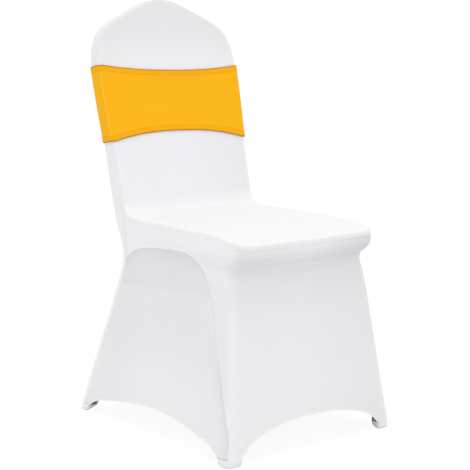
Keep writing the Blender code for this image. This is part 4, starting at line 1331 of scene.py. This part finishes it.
# lines down the sash's front corners, where a highlight is painted
sashHighlightLines = [points[cornerColumn, 5:-12] for points, _ in sashGrids]
sashGrids = pushedOut(sashGrids, lambda p, n: reliefOf(p, hemLines=sashLines))
sashStitches = [stitchPath(points, sashLines) for points, _ in sashGrids]
sashStitches += [stitchPath(points[:, ::-1], sashLines) for points, _ in sashGrids]
sashGrids = [turnedHem(*grid) for grid in sashGrids]
sashGrids = [turnedHem(points[:, ::-1], not flip) for points, flip in sashGrids]
sashPiece = addPiece("sash", sashGrids, sashCloth, cloth["sash"],
                     {"hem": sashLines, "fold": sashHighlightLines})
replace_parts(sashPiece, "sash_band")

stitchPiece("cover_hem_stitches", coverStitches, whiteThread)
stitchPiece("sash_hem_stitches", sashStitches, goldThread)


# ---------- foot pockets

foot = {
    "top": 0.0160, "radius": 0.0195, "round": 0.0045, "segments": 72,
    # superellipse power of the plan: round under the leg's corner, squarer along the hems,
    # straight across inside
    "cornerPower": 2.0, "sidePower": 5.0, "insidePower": 1.0,
    # the sole slants up towards the middle of the chair: height, then its share across and along
    "lift": 0.0105, "slant": (0.50, 0.87),
    # share of painted shade on the underside, where it faces down
    "under": 0.15,            # grey tone of the underside
}


def footPocket(name, corner, side):
    base = corner(0.0)
    above = corner(foot["top"])
    lean = ((above[0] - base[0]) / foot["top"] * side, (above[1] - base[1]) / foot["top"])
    centre = ((base[0] - foot["radius"]) * side, base[1] - math.copysign(foot["radius"], base[1]))
    flat = foot["radius"] - foot["round"]
    profile = [(flat * f, 0.0) for f in (0.0, 0.35, 0.7)]
    for turn in np.linspace(0.0, math.pi / 2, 9):
        profile.append((flat + foot["round"] * math.sin(turn), foot["round"] * (1 - math.cos(turn))))
    wall = foot["top"] - foot["round"]
    profile += [(foot["radius"] + 0.0002 * math.sin(f * 3.1), foot["round"] + wall * f)
                for f in np.linspace(0.12, 1.0, 8)]
    outward = math.copysign(1.0, base[1])
    points = []
    for turn in np.linspace(0.0, 2 * math.pi, foot["segments"] + 1):
        row = []
        across, along = math.cos(turn), math.sin(turn)
        outsides = (across * side > 0) + (along * outward > 0)
        power = (foot["insidePower"], foot["sidePower"], foot["cornerPower"])[outsides]
        stretch = (abs(across) ** power + abs(along) ** power) ** (-1 / power)
        across, along = across * stretch, along * stretch
        for r, z in profile:
            inward = -r * (across * side * foot["slant"][0] + along * outward * foot["slant"][1])
            raised = smoothStep(-0.1 * foot["radius"], 0.95 * foot["radius"], inward)
            z += foot["lift"] * raised * (1 - z / foot["top"])
            row.append((centre[0] + lean[0] * z + r * across, centre[1] + lean[1] * z + r * along, z))
        points.append(row)
    points = np.array(points)
    # painted shade on the sole where it faces down
    marks = {"hem": [points[:, -1]], "paintedShade": lambda p, n: foot["under"] * rising(0.10, 0.80, -n[:, 2])}
    return addPiece(name, [(points, False)], soleCloth, cloth["sole"], marks)


for side, sign in (("left", -1), ("right", 1)):
    for end, corner in (("front", frontCorner), ("rear", rearCorner)):
        name = "foot_pocket_" + end + "_" + side
        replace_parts(footPocket("sole_" + end + "_" + side, corner, sign), name)


# ---------- floor, light and camera

stage = {
    "floor": "#DFDFE1", "floorShade": 0.12, "floorSize": 60.0,
    "world": 1.03, "backdrop": 1.06,
    "camera": (-1.7365, -2.2149, 0.8794), "target": (-0.0069, -0.0332, 0.4266), "lens": 96.45,
    # name, place, diameter, watts
    "lights": (
        ("overhead", (0.0, -0.2, 3.2), 2.0, 0.9),
        ("near side", (-1.2, -0.3, 2.8), 1.5, 4.8),
        ("far side", (1.8, 0.0, 2.6), 1.5, 3.3),
        ("front", (0.0, -3.4, 1.4), 1.5, 0.3),
    ),
    "lightTarget": (0.0, 0.0, 0.4),
}


def litTable(name):
    # opal acrylic lit from below: the camera sees it plain white with a faint shadow, while the part
    # gets only its reflected light
    material, tree = newMaterial(name)
    surface = node(tree, "ShaderNodeBsdfPrincipled",
                   {"Base Color": linear(stage["floor"]), "Roughness": 0.95})
    glow = node(tree, "ShaderNodeEmission", {"Color": (1.0, 1.0, 1.0, 1.0), "Strength": stage["backdrop"]})
    ray = node(tree, "ShaderNodeLightPath")
    seen = node(tree, "ShaderNodeMath", {"operation": "MULTIPLY"}, {})
    tree.links.new(ray.outputs["Is Camera Ray"], seen.inputs[0])
    seen.inputs[1].default_value = 1.0 - stage["floorShade"]
    mixed = node(tree, "ShaderNodeMixShader", {}, {"Fac": (seen, "Value")})
    tree.links.new(surface.outputs[0], mixed.inputs[1])
    tree.links.new(glow.outputs[0], mixed.inputs[2])
    node(tree, "ShaderNodeOutputMaterial", {}, {"Surface": (mixed, "Shader")})
    return material


floorMesh = bpy.data.meshes.new("floor")
reach = stage["floorSize"]
corners = [(-reach, -reach, 0), (reach, -reach, 0), (reach, reach, 0), (-reach, reach, 0)]
floorMesh.from_pydata(corners, [], [(0, 1, 2, 3)])
floor = bpy.data.objects.new("floor", floorMesh)
bpy.context.scene.collection.objects.link(floor)
floor.location.z = -0.0004
floor.data.materials.append(litTable("lit-opal-acrylic-table"))

world = bpy.data.worlds.new("studio")
bpy.context.scene.world = world
world.use_nodes = True
sky = world.node_tree
sky.nodes.clear()
ray = node(sky, "ShaderNodeLightPath")
around = node(sky, "ShaderNodeBackground", {"Strength": stage["world"]})
backdrop = node(sky, "ShaderNodeBackground", {"Strength": stage["backdrop"]})
for shade in (around, backdrop):
    shade.inputs["Color"].default_value = (1.0, 1.0, 1.0, 1.0)
shown = node(sky, "ShaderNodeMixShader", {}, {"Fac": (ray, "Is Camera Ray")})
sky.links.new(around.outputs[0], shown.inputs[1])
sky.links.new(backdrop.outputs[0], shown.inputs[2])
node(sky, "ShaderNodeOutputWorld", {}, {"Surface": (shown, "Shader")})


def softLight(name, place, size, power):
    lamp = bpy.data.lights.new(name, "AREA")
    lamp.shape = "DISK"
    lamp.size = size
    lamp.energy = power
    holder = bpy.data.objects.new(name, lamp)
    bpy.context.scene.collection.objects.link(holder)
    holder.location = place
    facing = Vector(stage["lightTarget"]) - Vector(place)
    holder.rotation_euler = facing.to_track_quat("-Z", "Y").to_euler()


for light in stage["lights"]:
    softLight(*light)

lens = bpy.data.cameras.new("camera")
lens.lens = stage["lens"]
lens.sensor_width = 36.0
camera = bpy.data.objects.new("camera", lens)
bpy.context.scene.collection.objects.link(camera)
camera.location = stage["camera"]
sight = Vector(stage["target"]) - Vector(stage["camera"])
camera.rotation_euler = sight.to_track_quat("-Z", "Y").to_euler()
bpy.context.scene.camera = camera
bpy.context.scene.view_settings.view_transform = "Standard"
bpy.context.scene.view_settings.look = "None"
